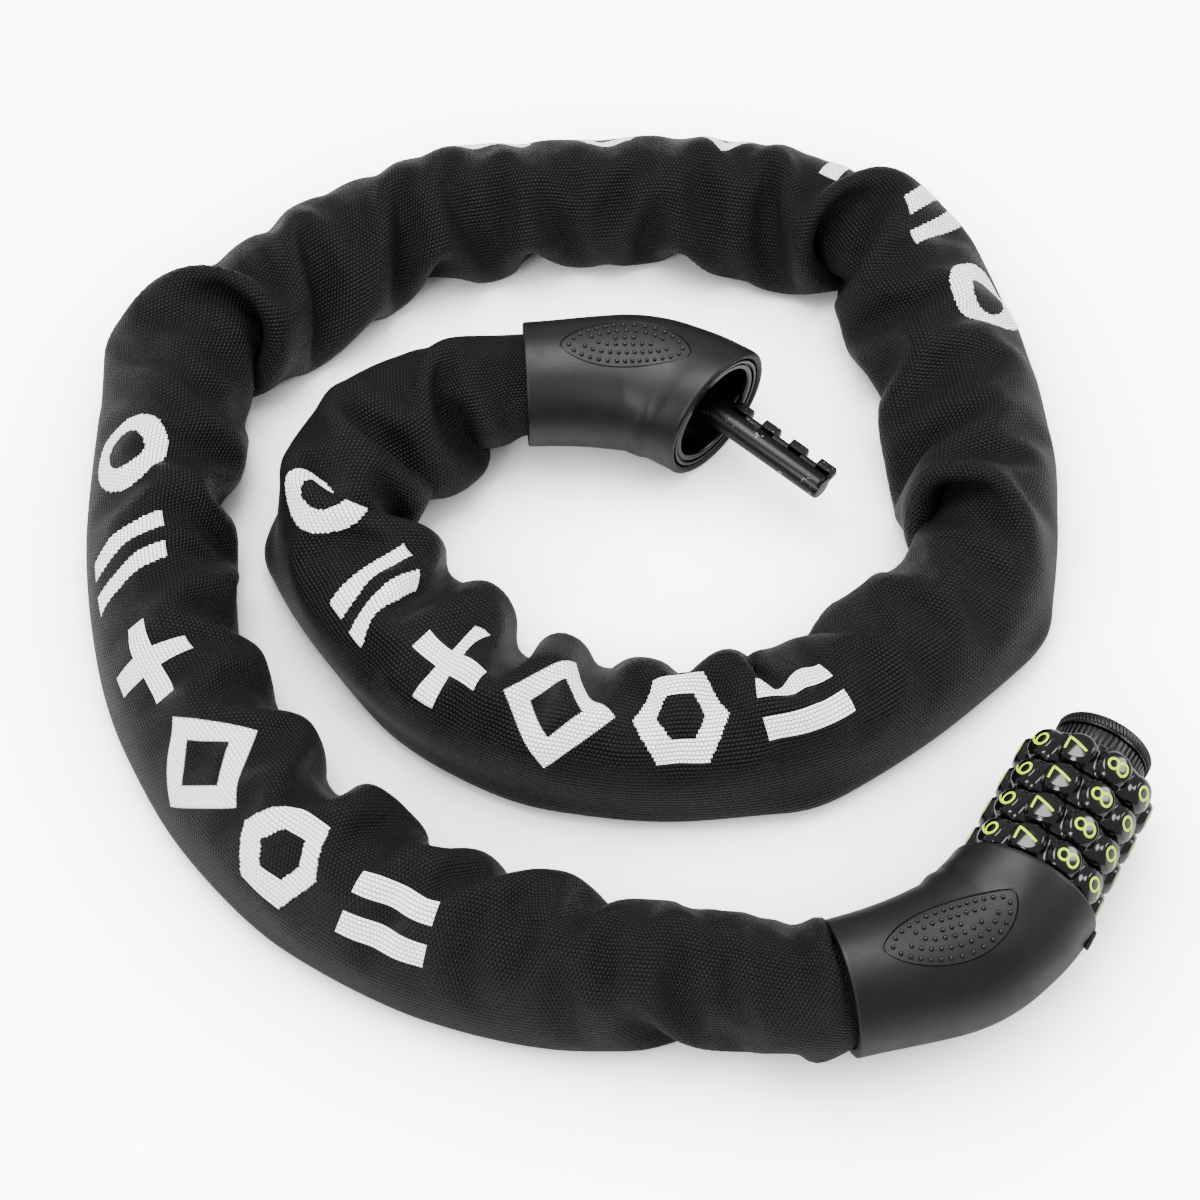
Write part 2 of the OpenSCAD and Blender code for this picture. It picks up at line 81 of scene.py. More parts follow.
# ---------------------------------------------------------------- small helpers


def linear(colour: str) -> tuple[float, float, float, float]:
    """Turn an sRGB hex colour into the linear values that a shader socket takes.

    Args:
        colour: Hex colour such as "#1c1b19".

    Returns:
        Red, green, blue and alpha.
    """
    parts = [int(colour[i : i + 2], 16) / 255 for i in (1, 3, 5)]
    return (*[c / 12.92 if c <= 0.04045 else ((c + 0.055) / 1.055) ** 2.4 for c in parts], 1.0)


def add_node(tree: bpy.types.NodeTree, kind: str, inputs: dict | None = None, **settings) -> bpy.types.Node:
    """Add a node, set its options, and link or set its inputs.

    Args:
        tree: Node tree that takes the node.
        kind: Blender's node type.
        inputs: Socket name or number to a value or to another node's output socket.
        **settings: Attributes of the node, such as operation.

    Returns:
        The new node.
    """
    node = tree.nodes.new(kind)
    for name, value in settings.items():
        setattr(node, name, value)
    for name, value in (inputs or {}).items():
        if isinstance(value, bpy.types.NodeSocket):
            tree.links.new(value, node.inputs[name])
        else:
            node.inputs[name].default_value = value
    return node


def calc(tree: bpy.types.NodeTree, operation: str, *values) -> bpy.types.NodeSocket:
    """Add a Math node and return its output.

    Args:
        tree: Shader node tree.
        operation: Operation of the Math node.
        *values: Numbers or sockets, in order.

    Returns:
        The value socket.
    """
    return add_node(tree, "ShaderNodeMath", dict(enumerate(values)), operation=operation).outputs[0]


def ease(t: float) -> float:
    """Smooth step from 0 to 1."""
    u = min(max(t, 0.0), 1.0)
    return u * u * (3 - 2 * u)


def mix(a: float, b: float, t: float) -> float:
    """Value a share t of the way from a to b."""
    return a + (b - a) * t


def ring_faces(rings: int, sides: int, closed: bool) -> list[tuple[int, int, int, int]]:
    """Quads between rings of points that each close on themselves.

    Args:
        rings: Number of rings.
        sides: Points in a ring.
        closed: Whether the last ring joins the first.

    Returns:
        Faces as point numbers.
    """
    return [
        (
            i * sides + j, i * sides + (j + 1) % sides,
            (i + 1) % rings * sides + (j + 1) % sides, (i + 1) % rings * sides + j,
        )
        for i in range(rings if closed else rings - 1)
        for j in range(sides)
    ]


def make_piece(
    name: str,
    points: Sequence[Sequence[float]],
    faces: Sequence[Sequence[int]],
    place: Matrix,
    material: bpy.types.Material,
    sharp: float = 32.0,
) -> bpy.types.Object:
    """Build a closed mesh object at the origin from points in millimetres.

    Args:
        name: Piece name.
        points: Points in the local frame, in millimetres.
        faces: Faces as point numbers.
        place: Local frame in the row frame, in millimetres.
        material: Finish of the piece.
        sharp: Edges that turn by more degrees than this stay crisp.

    Returns:
        The linked object.
    """
    mesh = bpy.data.meshes.new(name)
    mesh.from_pydata([(place @ Vector(p)) * MM for p in points], [], faces)
    work = bmesh.new()
    work.from_mesh(mesh)
    bmesh.ops.remove_doubles(work, verts=work.verts, dist=1e-6)
    bmesh.ops.recalc_face_normals(work, faces=work.faces)
    work.to_mesh(mesh)
    work.free()
    finish_mesh(mesh, material, sharp)
    obj = bpy.data.objects.new(name, mesh)
    bpy.context.scene.collection.objects.link(obj)
    return obj


def finish_mesh(mesh: bpy.types.Mesh, material: bpy.types.Material, sharp: float) -> None:
    """Give a mesh its material and smooth shading with crisp corners.

    Args:
        mesh: Mesh to finish.
        material: Its only material.
        sharp: Angle in degrees above which an edge stays crisp.
    """
    mesh.materials.clear()
    mesh.materials.append(material)
    mesh.shade_smooth()
    mesh.set_sharp_from_angle(angle=math.radians(sharp))


def settle(obj: bpy.types.Object, name: str) -> bpy.types.Object:
    """Bake an object's modifiers into a plain mesh under a new name.

    Args:
        obj: Object with modifiers.
        name: Name of the finished mesh's object.

    Returns:
        The finished object, with no modifiers.
    """
    bpy.context.view_layer.update()
    graph = bpy.context.evaluated_depsgraph_get()
    mesh = bpy.data.meshes.new_from_object(obj.evaluated_get(graph))
    obj.modifiers.clear()
    bpy.data.objects.remove(obj)
    done = bpy.data.objects.new(name, mesh)
    bpy.context.scene.collection.objects.link(done)
    return done


def join_pieces(name: str, parts: Sequence[bpy.types.Object]) -> bpy.types.Object:
    """Join meshes of one finish into a single object.

    Args:
        name: Name of the result.
        parts: Objects to join, removed afterwards.

    Returns:
        The joined object.
    """
    work = bmesh.new()
    materials = list(parts[0].data.materials)
    for part in parts:
        work.from_mesh(part.data)
    mesh = bpy.data.meshes.new(name)
    work.to_mesh(mesh)
    work.free()
    for material in materials:
        mesh.materials.append(material)
    for part in parts:
        bpy.data.objects.remove(part)
    obj = bpy.data.objects.new(name, mesh)
    bpy.context.scene.collection.objects.link(obj)
    return obj


def show(obj: bpy.types.Object, body: str, slot: str, *nodes: str) -> bpy.types.Object:
    """Make a finished piece ride on its body and stand for its CAD nodes.

    Args:
        obj: The piece.
        body: CAD body that carries it.
        slot: Material slot of the record; not used.
        *nodes: CAD nodes that it stands for.

    Returns:
        The piece.
    """
    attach(obj, body)
    if nodes:
        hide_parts(*nodes)
    LOG.info("%s: %d faces on %s", obj.name, len(obj.data.polygons), body)
    return obj


# ---------------------------------------------------------------- finishes


@dataclass(frozen=True)
class Finish:
    """Base of every finish: a named material with a Principled shader."""

    name: str
    colour: str
    roughness: float

    def tree(self) -> tuple[bpy.types.Material, bpy.types.NodeTree, bpy.types.Node]:
        """Start the material with its constants set.

        Returns:
            The material, its node tree and its shader.
        """
        material = bpy.data.materials.new(self.name)
        material.use_nodes = True
        tree = material.node_tree
        shader = tree.nodes["Principled BSDF"]
        shader.inputs["Base Color"].default_value = linear(self.colour)
        shader.inputs["Roughness"].default_value = self.roughness
        material.diffuse_color = linear(self.colour)
        return material, tree, shader


@dataclass(frozen=True)
class MouldedPlastic(Finish):
    """Satin moulded plastic: a fine spark-eroded grain and slightly uneven gloss."""

    grain: float = 0.22
    depth: float = 0.03
    unevenness: float = 0.06
    coat: float = 0.0
    specular: float = 0.5

    def build(self) -> bpy.types.Material:
        """Build the material.

        Returns:
            The plastic.
        """
        material, tree, shader = self.tree()
        where = add_node(tree, "ShaderNodeTexCoord").outputs["Object"]
        grain = add_node(tree, "ShaderNodeTexNoise", {
            "Vector": where, "Scale": 1 / (self.grain * MM), "Detail": 3.0,
        })
        cloud = add_node(tree, "ShaderNodeTexNoise", {"Vector": where, "Scale": 1 / (7 * MM), "Detail": 4.0})
        gloss = add_node(tree, "ShaderNodeMapRange", {
            "Value": cloud.outputs["Fac"], "From Min": 0.3, "From Max": 0.7,
            "To Min": self.roughness - self.unevenness, "To Max": self.roughness + self.unevenness,
        })
        bump = add_node(tree, "ShaderNodeBump", {
            "Height": grain.outputs["Fac"], "Strength": 1.0, "Distance": self.depth * MM,
        })
        tree.links.new(gloss.outputs["Result"], shader.inputs["Roughness"])
        tree.links.new(bump.outputs["Normal"], shader.inputs["Normal"])
        shader.inputs["Specular IOR Level"].default_value = self.specular
        shader.inputs["Coat Weight"].default_value = self.coat
        shader.inputs["Coat Roughness"].default_value = 0.06
        return material


@dataclass(frozen=True)
class Metal(Finish):
    """Bare or plated metal with a faint drawn or cast grain."""

    grain: float = 0.5
    contrast: float = 0.08

    def build(self) -> bpy.types.Material:
        """Build the material.

        Returns:
            The metal.
        """
        material, tree, shader = self.tree()
        where = add_node(tree, "ShaderNodeTexCoord").outputs["Object"]
        grain = add_node(tree, "ShaderNodeTexNoise", {
            "Vector": where, "Scale": 1 / (self.grain * MM), "Detail": 5.0,
        })
        rough = add_node(tree, "ShaderNodeMapRange", {
            "Value": grain.outputs["Fac"], "To Min": self.roughness - self.contrast,
            "To Max": self.roughness + self.contrast,
        })
        tree.links.new(rough.outputs["Result"], shader.inputs["Roughness"])
        shader.inputs["Metallic"].default_value = 1.0
        return material


@dataclass(frozen=True)
class WornBlackSteel(Finish):
    """Black-oxided steel with the coating chipped through to bright specks."""

    bare: str = "#c9c9c4"
    speck: float = 0.9
    share: float = 0.645

    def build(self) -> bpy.types.Material:
        """Build the material.

        Returns:
            The coated steel.
        """
        material, tree, shader = self.tree()
        where = add_node(tree, "ShaderNodeTexCoord").outputs["Object"]
        chips = add_node(tree, "ShaderNodeTexNoise", {
            "Vector": where, "Scale": 1 / (self.speck * MM), "Detail": 5.0, "Roughness": 0.7,
        })
        patches = add_node(tree, "ShaderNodeTexNoise", {"Vector": where, "Scale": 1 / (6 * MM), "Detail": 2.0})
        height = calc(tree, "MULTIPLY_ADD", patches.outputs["Fac"], 0.35, chips.outputs["Fac"])
        worn = add_node(tree, "ShaderNodeMapRange", {
            "Value": height, "From Min": self.share + 0.18, "From Max": self.share + 0.21,
        }).outputs["Result"]
        colour = add_node(tree, "ShaderNodeMix", {
            0: worn, 6: linear(self.colour), 7: linear(self.bare),
        }, data_type="RGBA")
        rough = calc(tree, "MULTIPLY_ADD", chips.outputs["Fac"], 0.2, self.roughness - 0.1)
        bump = add_node(tree, "ShaderNodeBump", {
            "Height": calc(tree, "SUBTRACT", chips.outputs["Fac"], worn),
            "Strength": 0.6, "Distance": 0.04 * MM,
        })
        tree.links.new(colour.outputs[2], shader.inputs["Base Color"])
        tree.links.new(rough, shader.inputs["Roughness"])
        tree.links.new(calc(tree, "MULTIPLY_ADD", worn, 0.6, 0.4), shader.inputs["Metallic"])
        tree.links.new(bump.outputs["Normal"], shader.inputs["Normal"])
        return material


@dataclass(frozen=True)
class WovenNylon(Finish):
    """Black tubular webbing: round beads of yarn in rows, matt, with painted shade in the gaps between beads
    and a printed band of plain marks that has a painted glow.
    """

    # colour of the gaps between beads: painted shade, darker than the yarn
    gap: str = "#000000"
    print_colour: str = "#f1f1ee"
    # The real weave is about 0.87 mm a bead; it is drawn coarser so that it shows at this distance.
    pitch: float = 1.02
    relief: float = 0.34
    cell: float = 33.0
    group: float = 330.0
    group_from: float = 92.0
    stroke: float = 5.8
    mark_height: float = 23.0
    lean: float = -0.35
    # emission of the white print: painted light that lifts the ink above what the lamps give it
    painted_ink_glow: float = 1.8
    roundness: float = 0.55
    ink_above: float = 0.34
    fuzz_scale: float = 3.1
    sheen: float = 0.01
    specular: float = 0.24

    def build(self) -> bpy.types.Material:
        """Build the material; the UV map gives millimetres around and along the cloth.

        Returns:
            The webbing.
        """
        material, tree, shader = self.tree()
        uv = add_node(tree, "ShaderNodeUVMap", uv_map="cloth").outputs["UV"]
        split = add_node(tree, "ShaderNodeSeparateXYZ", {0: uv})
        across, along = split.outputs[0], split.outputs[1]
        u, v = calc(tree, "DIVIDE", across, self.pitch), calc(tree, "DIVIDE", along, self.pitch)
        row = calc(tree, "FLOOR", u)
        shifted = calc(tree, "MULTIPLY_ADD", calc(tree, "MODULO", row, 2.0), 0.5, v)
        beads = calc(tree, "MULTIPLY", self.arch(tree, u), self.arch(tree, shifted))
        yarn = calc(tree, "POWER", beads, self.roundness)
        fuzz = add_node(tree, "ShaderNodeTexNoise", {
            "Vector": uv, "Scale": self.fuzz_scale, "Detail": 3.0, "Roughness": 0.7,
        }).outputs["Fac"]
        height = calc(tree, "MULTIPLY_ADD", fuzz, 0.35, yarn)
        # bead crests keep the yarn colour and the gaps fall to the gap colour: painted shade in the hollows
        painted_gap_shade_mix = add_node(tree, "ShaderNodeMapRange", {
            "Value": calc(tree, "MULTIPLY_ADD", fuzz, 0.5, yarn), "From Min": 0.45, "From Max": 1.15,
        }).outputs["Result"]
        cloth = add_node(tree, "ShaderNodeMix", {
            0: painted_gap_shade_mix, 6: linear(self.gap), 7: linear(self.colour),
        }, data_type="RGBA")
        mark = self.marks(tree, across, along)
        inked = calc(tree, "MULTIPLY", mark, calc(tree, "GREATER_THAN", yarn, self.ink_above))
        colour = add_node(tree, "ShaderNodeMix", {
            0: inked, 6: cloth.outputs[2], 7: linear(self.print_colour),
        }, data_type="RGBA")
        bump = add_node(tree, "ShaderNodeBump", {
            "Height": height, "Strength": 1.0, "Distance": self.relief * MM,
        })
        tree.links.new(colour.outputs[2], shader.inputs["Base Color"])
        tree.links.new(bump.outputs["Normal"], shader.inputs["Normal"])
        # the inked yarn glows: painted light on the print
        shader.inputs["Emission Color"].default_value = linear(self.print_colour)
        tree.links.new(calc(tree, "MULTIPLY", inked, self.painted_ink_glow), shader.inputs["Emission Strength"])
        shader.inputs["Sheen Weight"].default_value = self.sheen
        shader.inputs["Sheen Roughness"].default_value = 0.4
        shader.inputs["Specular IOR Level"].default_value = self.specular
        return material

    @staticmethod
    def arch(tree: bpy.types.NodeTree, value: bpy.types.NodeSocket) -> bpy.types.NodeSocket:
        """Half sine over each whole step of value.

        Args:
            tree: Shader tree.
            value: Count of yarns.

        Returns:
            A socket from 0 at a gap to 1 on a crest.
        """
        return calc(tree, "ABSOLUTE", calc(tree, "SINE", calc(tree, "MULTIPLY", value, math.pi)))

    def marks(
        self, tree: bpy.types.NodeTree, across: bpy.types.NodeSocket, along: bpy.types.NodeSocket
    ) -> bpy.types.NodeSocket:
        """Mask of the marks, stepped to the weave: ring, slanted bars, cross, diamond, hexagon, bars.

        Args:
            tree: Shader tree.
            across: Millimetres around the cloth from the band's middle.
            along: Millimetres along the cloth.

        Returns:
            A socket, 1 on ink and 0 off it.
        """
        step = self.pitch * 0.5
        q = calc(tree, "MULTIPLY", calc(tree, "ROUND", calc(tree, "DIVIDE", along, step)), step)
        y = calc(tree, "MULTIPLY", calc(tree, "ROUND", calc(tree, "DIVIDE", across, step)), step)
        ahead = calc(tree, "ADD", calc(tree, "SUBTRACT", q, self.group_from), 2 * self.group)
        run = calc(tree, "MODULO", ahead, self.group)
        number = calc(tree, "FLOOR", calc(tree, "DIVIDE", run, self.cell))
        past = calc(tree, "SUBTRACT", run, calc(tree, "MULTIPLY", number, self.cell))
        x = calc(tree, "SUBTRACT", past, self.cell / 2)
        ax, ay = calc(tree, "ABSOLUTE", x), calc(tree, "ABSOLUTE", y)
        half, thick = self.mark_height / 2, self.stroke / 2
        inside = calc(tree, "LESS_THAN", calc(tree, "MAXIMUM", ax, ay), half)
        diamond = calc(tree, "ADD", ax, ay)
        slope = calc(tree, "MULTIPLY_ADD", ay, 0.5, calc(tree, "MULTIPLY", ax, COS_30))
        hexagon = calc(tree, "MAXIMUM", ay, slope)
        squares = calc(tree, "ADD", calc(tree, "MULTIPLY", x, x), calc(tree, "MULTIPLY", y, y))
        circle = calc(tree, "POWER", squares, 0.5)
        slant = calc(tree, "ABSOLUTE", calc(tree, "MULTIPLY_ADD", y, self.lean, x))
        spread, bar = thick + 2.1, thick * 0.92
        shapes = [
            self.band(tree, circle, half - thick, thick),
            calc(tree, "MULTIPLY", self.band(tree, slant, spread, bar), inside),
            calc(tree, "MULTIPLY", calc(tree, "LESS_THAN", calc(tree, "MINIMUM", ax, ay), thick), inside),
            self.band(tree, diamond, half - 0.2, thick * 1.25),
            self.band(tree, hexagon, half - thick - 0.4, thick * 0.95),
            calc(tree, "MULTIPLY", self.band(tree, ay, spread, bar), inside),
        ]
        total: bpy.types.NodeSocket | float = 0.0
        for k, shape in enumerate(shapes):
            here = calc(tree, "COMPARE", number, float(k), 0.1)
            total = calc(tree, "MULTIPLY_ADD", here, shape, total)
        return total

    @staticmethod
    def band(
        tree: bpy.types.NodeTree, value: bpy.types.NodeSocket, middle: float, half: float
    ) -> bpy.types.NodeSocket:
        """Mask of the values within half of the middle."""
        return calc(tree, "COMPARE", value, middle, half)


@dataclass(frozen=True)
class FlatPaint(Finish):
    """Even matt coat, for printed figures and for the studio floor; its glow is painted light."""

    painted_glow: float = 0.0

    def build(self) -> bpy.types.Material:
        """Build the material.

        Returns:
            The paint.
        """
        material, _, shader = self.tree()
        shader.inputs["Emission Color"].default_value = linear(self.colour)
        # the coat glows: painted light
        shader.inputs["Emission Strength"].default_value = self.painted_glow
        return material


def made(finish: Finish) -> bpy.types.Material:
    """Default of a field that is built when the finishes are."""
    return field(default_factory=finish.build)


@dataclass
class Finishes:
    """Every finish of the lock, built once."""

    # moulded ABS covers: near-black, satin, broad soft highlights
    cover: bpy.types.Material = made(
        MouldedPlastic("moulded_abs_satin", "#0c0c0b", 0.46, depth=0.045, specular=0.4)
    )
    # soft rubber grips: a little greyer and duller than the covers
    grip: bpy.types.Material = made(MouldedPlastic("grip_rubber", "#15161a", 0.55, depth=0.01, specular=0.4))
    # gloss ABS of the dials: black with sharp window-like highlights
    dial: bpy.types.Material = made(
        MouldedPlastic("gloss_abs_dial", "#080808", 0.16, depth=0.003, unevenness=0.02, coat=0.3)
    )
    # harder black plastic of the knob: half gloss so that its ribs catch light
    knob: bpy.types.Material = made(MouldedPlastic("knob_abs", "#0d0d0e", 0.36, depth=0.01))
    # gloss liner inside the mouth: very dark with a bright rim line
    liner: bpy.types.Material = made(
        MouldedPlastic("gloss_abs_liner", "#060606", 0.24, depth=0.006, unevenness=0.04)
    )
    # pad-printed figures: flat lime green, with a painted glow
    paint: bpy.types.Material = made(FlatPaint("lime_pad_print", "#b4e600", 0.5, painted_glow=0.9))
    # woven sleeve: matt black yarn with white print
    nylon: bpy.types.Material = made(WovenNylon("woven_nylon_sleeve", "#0b0a0a", 0.5))
    # unprinted inside of the sleeve: the same black yarn
    lining: bpy.types.Material = made(MouldedPlastic("woven_nylon_inside", "#060606", 0.7, specular=0.2))
    # shank: black-oxided steel with bright chips
    shank: bpy.types.Material = made(WornBlackSteel("black_oxide_steel", "#0e0f10", 0.34))
    # chain: zinc-plated steel, cool grey
    chain: bpy.types.Material = made(Metal("zinc_plated_steel", "#a9abae", 0.34))
    # pins, springs and screws: bright drawn steel
    bright: bpy.types.Material = made(Metal("bright_drawn_steel", "#c4c6c9", 0.24, grain=0.3))
    # core and anchors: die-cast zinc, dull grey
    zinc: bpy.types.Material = made(Metal("die_cast_zinc", "#8d9094", 0.46, grain=0.8))
    # code rings: turned brass
    brass: bpy.types.Material = made(Metal("turned_brass", "#c29a3c", 0.28, grain=0.3))
    # washers: milky acetal
    acetal: bpy.types.Material = made(MouldedPlastic("acetal_washer", "#d4d4cf", 0.4, depth=0.006))


# ---------------------------------------------------------------- repeats with Geometry Nodes


def repeat_tree(name: str, material: bpy.types.Material) -> bpy.types.GeometryNodeTree:
    """Tree that puts a bead on every point of a mesh, turned by the point's own attribute.

    Args:
        name: Name of the tree.
        material: Finish of the beads.

    Returns:
        The tree, with inputs Geometry and Bead.
    """
    tree = bpy.data.node_groups.new(name, "GeometryNodeTree")
    face = tree.interface
    face.new_socket("Geometry", in_out="INPUT", socket_type="NodeSocketGeometry")
    face.new_socket("Bead", in_out="INPUT", socket_type="NodeSocketObject")
    face.new_socket("Geometry", in_out="OUTPUT", socket_type="NodeSocketGeometry")
    start = add_node(tree, "NodeGroupInput").outputs
    bead = add_node(tree, "GeometryNodeObjectInfo", {"Object": start["Bead"]}).outputs["Geometry"]
    stored = add_node(tree, "GeometryNodeInputNamedAttribute", {"Name": "turn"}, data_type="FLOAT_VECTOR")
    turn = stored.outputs[0]
    spread = add_node(tree, "GeometryNodeInstanceOnPoints", {
        "Points": start["Geometry"], "Instance": bead, "Rotation": turn,
    }).outputs[0]
    real = add_node(tree, "GeometryNodeRealizeInstances", {"Geometry": spread}).outputs[0]
    done = add_node(tree, "GeometryNodeSetMaterial", {"Geometry": real, "Material": material}).outputs[0]
    add_node(tree, "NodeGroupOutput", {0: done})
    return tree


def repeat_bead(
    name: str,
    bead: bpy.types.Object,
    places: Sequence[Matrix],
    material: bpy.types.Material,
) -> bpy.types.Object:
    """Repeat one small mesh at many places and bake the result.

    Args:
        name: Name of the result.
        bead: Mesh to repeat, in metres about its own origin; removed afterwards.
        places: Place and turn of each copy, in millimetres in the row frame.
        material: Finish.

    Returns:
        The baked object.
    """
    mesh = bpy.data.meshes.new(name + "_points")
    mesh.from_pydata([m.translation * MM for m in places], [], [])
    turns = mesh.attributes.new("turn", "FLOAT_VECTOR", "POINT")
    turns.data.foreach_set("vector", [a for m in places for a in m.to_euler("XYZ")])
    host = bpy.data.objects.new(name + "_points", mesh)
    bpy.context.scene.collection.objects.link(host)
    tree = repeat_tree(name + "_tree", material)
    modifier = host.modifiers.new("repeat", "NODES")
    modifier.node_group = tree
    socket = next(s for s in tree.interface.items_tree if s.name == "Bead" and s.in_out == "INPUT")
    modifier[socket.identifier] = bead
    done = settle(host, name)
    bpy.data.objects.remove(bead)
    done.data.shade_smooth()
    return done


def stroke_tree(name: str, material: bpy.types.Material) -> bpy.types.GeometryNodeTree:
    """Tree that sweeps a round bar along the edges of a mesh.

    Args:
        name: Name of the tree.
        material: Finish of the bar.

    Returns:
        The tree, with inputs Geometry and Radius.
    """
    tree = bpy.data.node_groups.new(name, "GeometryNodeTree")
    face = tree.interface
    face.new_socket("Geometry", in_out="INPUT", socket_type="NodeSocketGeometry")
    face.new_socket("Radius", in_out="INPUT", socket_type="NodeSocketFloat")
    face.new_socket("Geometry", in_out="OUTPUT", socket_type="NodeSocketGeometry")
    start = add_node(tree, "NodeGroupInput").outputs
    line = add_node(tree, "GeometryNodeMeshToCurve", {"Mesh": start["Geometry"]}).outputs[0]
    ring = add_node(tree, "GeometryNodeCurvePrimitiveCircle", {
        "Resolution": 10, "Radius": start["Radius"],
    }).outputs[0]
    bar = add_node(tree, "GeometryNodeCurveToMesh", {
        "Curve": line, "Profile Curve": ring, "Fill Caps": True,
    }).outputs[0]
    real = add_node(tree, "GeometryNodeRealizeInstances", {"Geometry": bar}).outputs[0]
    done = add_node(tree, "GeometryNodeSetMaterial", {"Geometry": real, "Material": material}).outputs[0]
    add_node(tree, "NodeGroupOutput", {0: done})
    return tree


def sweep_strokes(
    name: str,
    lines: Sequence[Sequence[Point]],
    radius: float,
    place: Matrix,
    material: bpy.types.Material,
) -> bpy.types.Object:
    """Sweep a round bar along open or closed lines and bake the result.

    Args:
        name: Name of the result.
        lines: Lines in the local frame, in millimetres; one that ends where it starts is closed.
        radius: Radius of the bar in millimetres.
        place: Local frame in the row frame, in millimetres.
        material: Finish.

    Returns:
        The baked object.
    """
    points: list[Vector] = []
    edges: list[tuple[int, int]] = []
    for line in lines:
        closed = (Vector(line[0]) - Vector(line[-1])).length < 1e-6
        kept = list(line[:-1]) if closed else list(line)
        first = len(points)
        points += [(place @ Vector(p)) * MM for p in kept]
        edges += [(first + i, first + i + 1) for i in range(len(kept) - 1)]
        if closed:
            edges.append((len(points) - 1, first))
    mesh = bpy.data.meshes.new(name + "_lines")
    mesh.from_pydata(points, edges, [])
    host = bpy.data.objects.new(name + "_lines", mesh)
    bpy.context.scene.collection.objects.link(host)
    tree = stroke_tree(name + "_tree", material)
    modifier = host.modifiers.new("sweep", "NODES")
    modifier.node_group = tree
    socket = next(s for s in tree.interface.items_tree if s.name == "Radius" and s.in_out == "INPUT")
    modifier[socket.identifier] = radius * MM
    done = settle(host, name)
    finish_mesh(done.data, material, 40)
    return done


def rounded_block(
    name: str, size: Point, place: Matrix, material: bpy.types.Material, radius: float = 0.35, steps: int = 2
) -> bpy.types.Object:
    """Box with rounded edges, its middle at the local origin.

    Args:
        name: Name of the object.
        size: Length, width and height in millimetres.
        place: Local frame in the row frame, in millimetres.
        material: Finish.
        radius: Radius of the edges in millimetres.
        steps: Segments of each rounding.

    Returns:
        The block.
    """
    work = bmesh.new()
    bmesh.ops.create_cube(work, size=1.0, matrix=Matrix.Diagonal((*size, 1)))
    bmesh.ops.bevel(work, geom=work.edges[:], offset=radius, segments=steps, profile=0.5, affect="EDGES")
    work.transform(place)
    work.transform(Matrix.Scale(MM, 4))
    mesh = bpy.data.meshes.new(name)
    work.to_mesh(mesh)
    work.free()
    finish_mesh(mesh, material, 50)
    obj = bpy.data.objects.new(name, mesh)
    bpy.context.scene.collection.objects.link(obj)
    return obj


# ---------------------------------------------------------------- heads


@dataclass(frozen=True)
class HeadFrame:
    """Frame of a head: origin at the middle of its mouth, +X out of the mouth, the chain on +Y."""

    place: Point
    heading: float
    turned_over: bool

    def matrix(self) -> Matrix:
        """Place of the head in the row frame, in millimetres.

        Returns:
            The matrix.
        """
        over = Matrix.Rotation(math.radians(180 if self.turned_over else 0), 4, "X")
        return Matrix.Translation(self.place) @ Matrix.Rotation(math.radians(self.heading), 4, "Z") @ over

    def to_row(self, x: float, y: float, z: float) -> Vector:
        """Turn a local point into the row frame, in millimetres."""
        return self.matrix() @ Vector((x, y, z))


DIAL_HEAD = HeadFrame((97.2, -95.0, 18.5), 60.0, False)
SHANK_HEAD = HeadFrame((29.5, 40.1, 18.5), -41.5, True)


@dataclass(frozen=True)
class Elbow:
    """The bent pipe that both covers are made from, by distance from the collar's end."""

    collar_r: float = 16.0
    bend_r: float = 16.75
    mouth_r: float = 18.5
    bend: float = math.radians(45)
    bend_radius: float = 28.0
    collar_run: float = 24.5
    mouth_run: float = 6.0
    flare: float = 15.0
    fill: float = 3.6
    fill_before_end: float = 18.0
    fill_spread: float = 14.0
    fill_fade: float = 7.0

    @property
    def length(self) -> float:
        """Length of the centreline."""
        return self.collar_run + self.bend_radius * self.bend + self.mouth_run

    @property
    def collar(self) -> tuple[float, float]:
        """Middle of the collar's end."""
        return (
            -self.mouth_run - (self.bend_radius + self.collar_run) * math.sin(self.bend),
            self.bend_radius * (1 - math.cos(self.bend)) + self.collar_run * math.sin(self.bend),
        )

    def pose(self, d: float) -> tuple[float, float, float]:
        """Centreline at a distance.

        Args:
            d: Distance from the collar's end.

        Returns:
            x, y and heading in radians.
        """
        x, y = self.collar
        if d < self.collar_run:
            return x + d * math.cos(self.bend), y - d * math.sin(self.bend), -self.bend
        if d < self.length - self.mouth_run:
            left = self.bend * (1 - (d - self.collar_run) / (self.bend_radius * self.bend))
            x = -self.mouth_run - self.bend_radius * math.sin(left)
            return x, self.bend_radius * (1 - math.cos(left)), -left
        return d - self.length, 0.0, 0.0

    def radius(self, d: float) -> float:
        """Outer radius at a distance along the centreline."""
        early = mix(self.collar_r, self.bend_r, ease(d / self.collar_run))
        return mix(early, self.mouth_r, ease((d - self.length) / self.flare + 1))

    def skin(self, d: float, angle: float) -> float:
        """Outer radius with the soft filling on the inner side of the bend."""
        inner = max(0.0, math.cos(math.radians(angle))) ** 2
        swell = math.exp(-(((d - self.length + self.fill_before_end) / self.fill_spread) ** 2))
        along = swell * ease((self.length - d) / self.fill_fade)
        return self.radius(d) + self.fill * inner * along

    def point(self, d: float, angle: float, r: float) -> Point:
        """Point around the centreline.

        Args:
            d: Distance from the collar's end.
            angle: Degrees from the side where the bend's centre is; 90 is local +Z.
            r: Distance from the centreline.

        Returns:
            The local point.
        """
        x, y, heading = self.pose(d)
        side = r * math.cos(math.radians(angle))
        return (x - side * math.sin(heading), y + side * math.cos(heading), r * math.sin(math.radians(angle)))


ELBOW = Elbow()


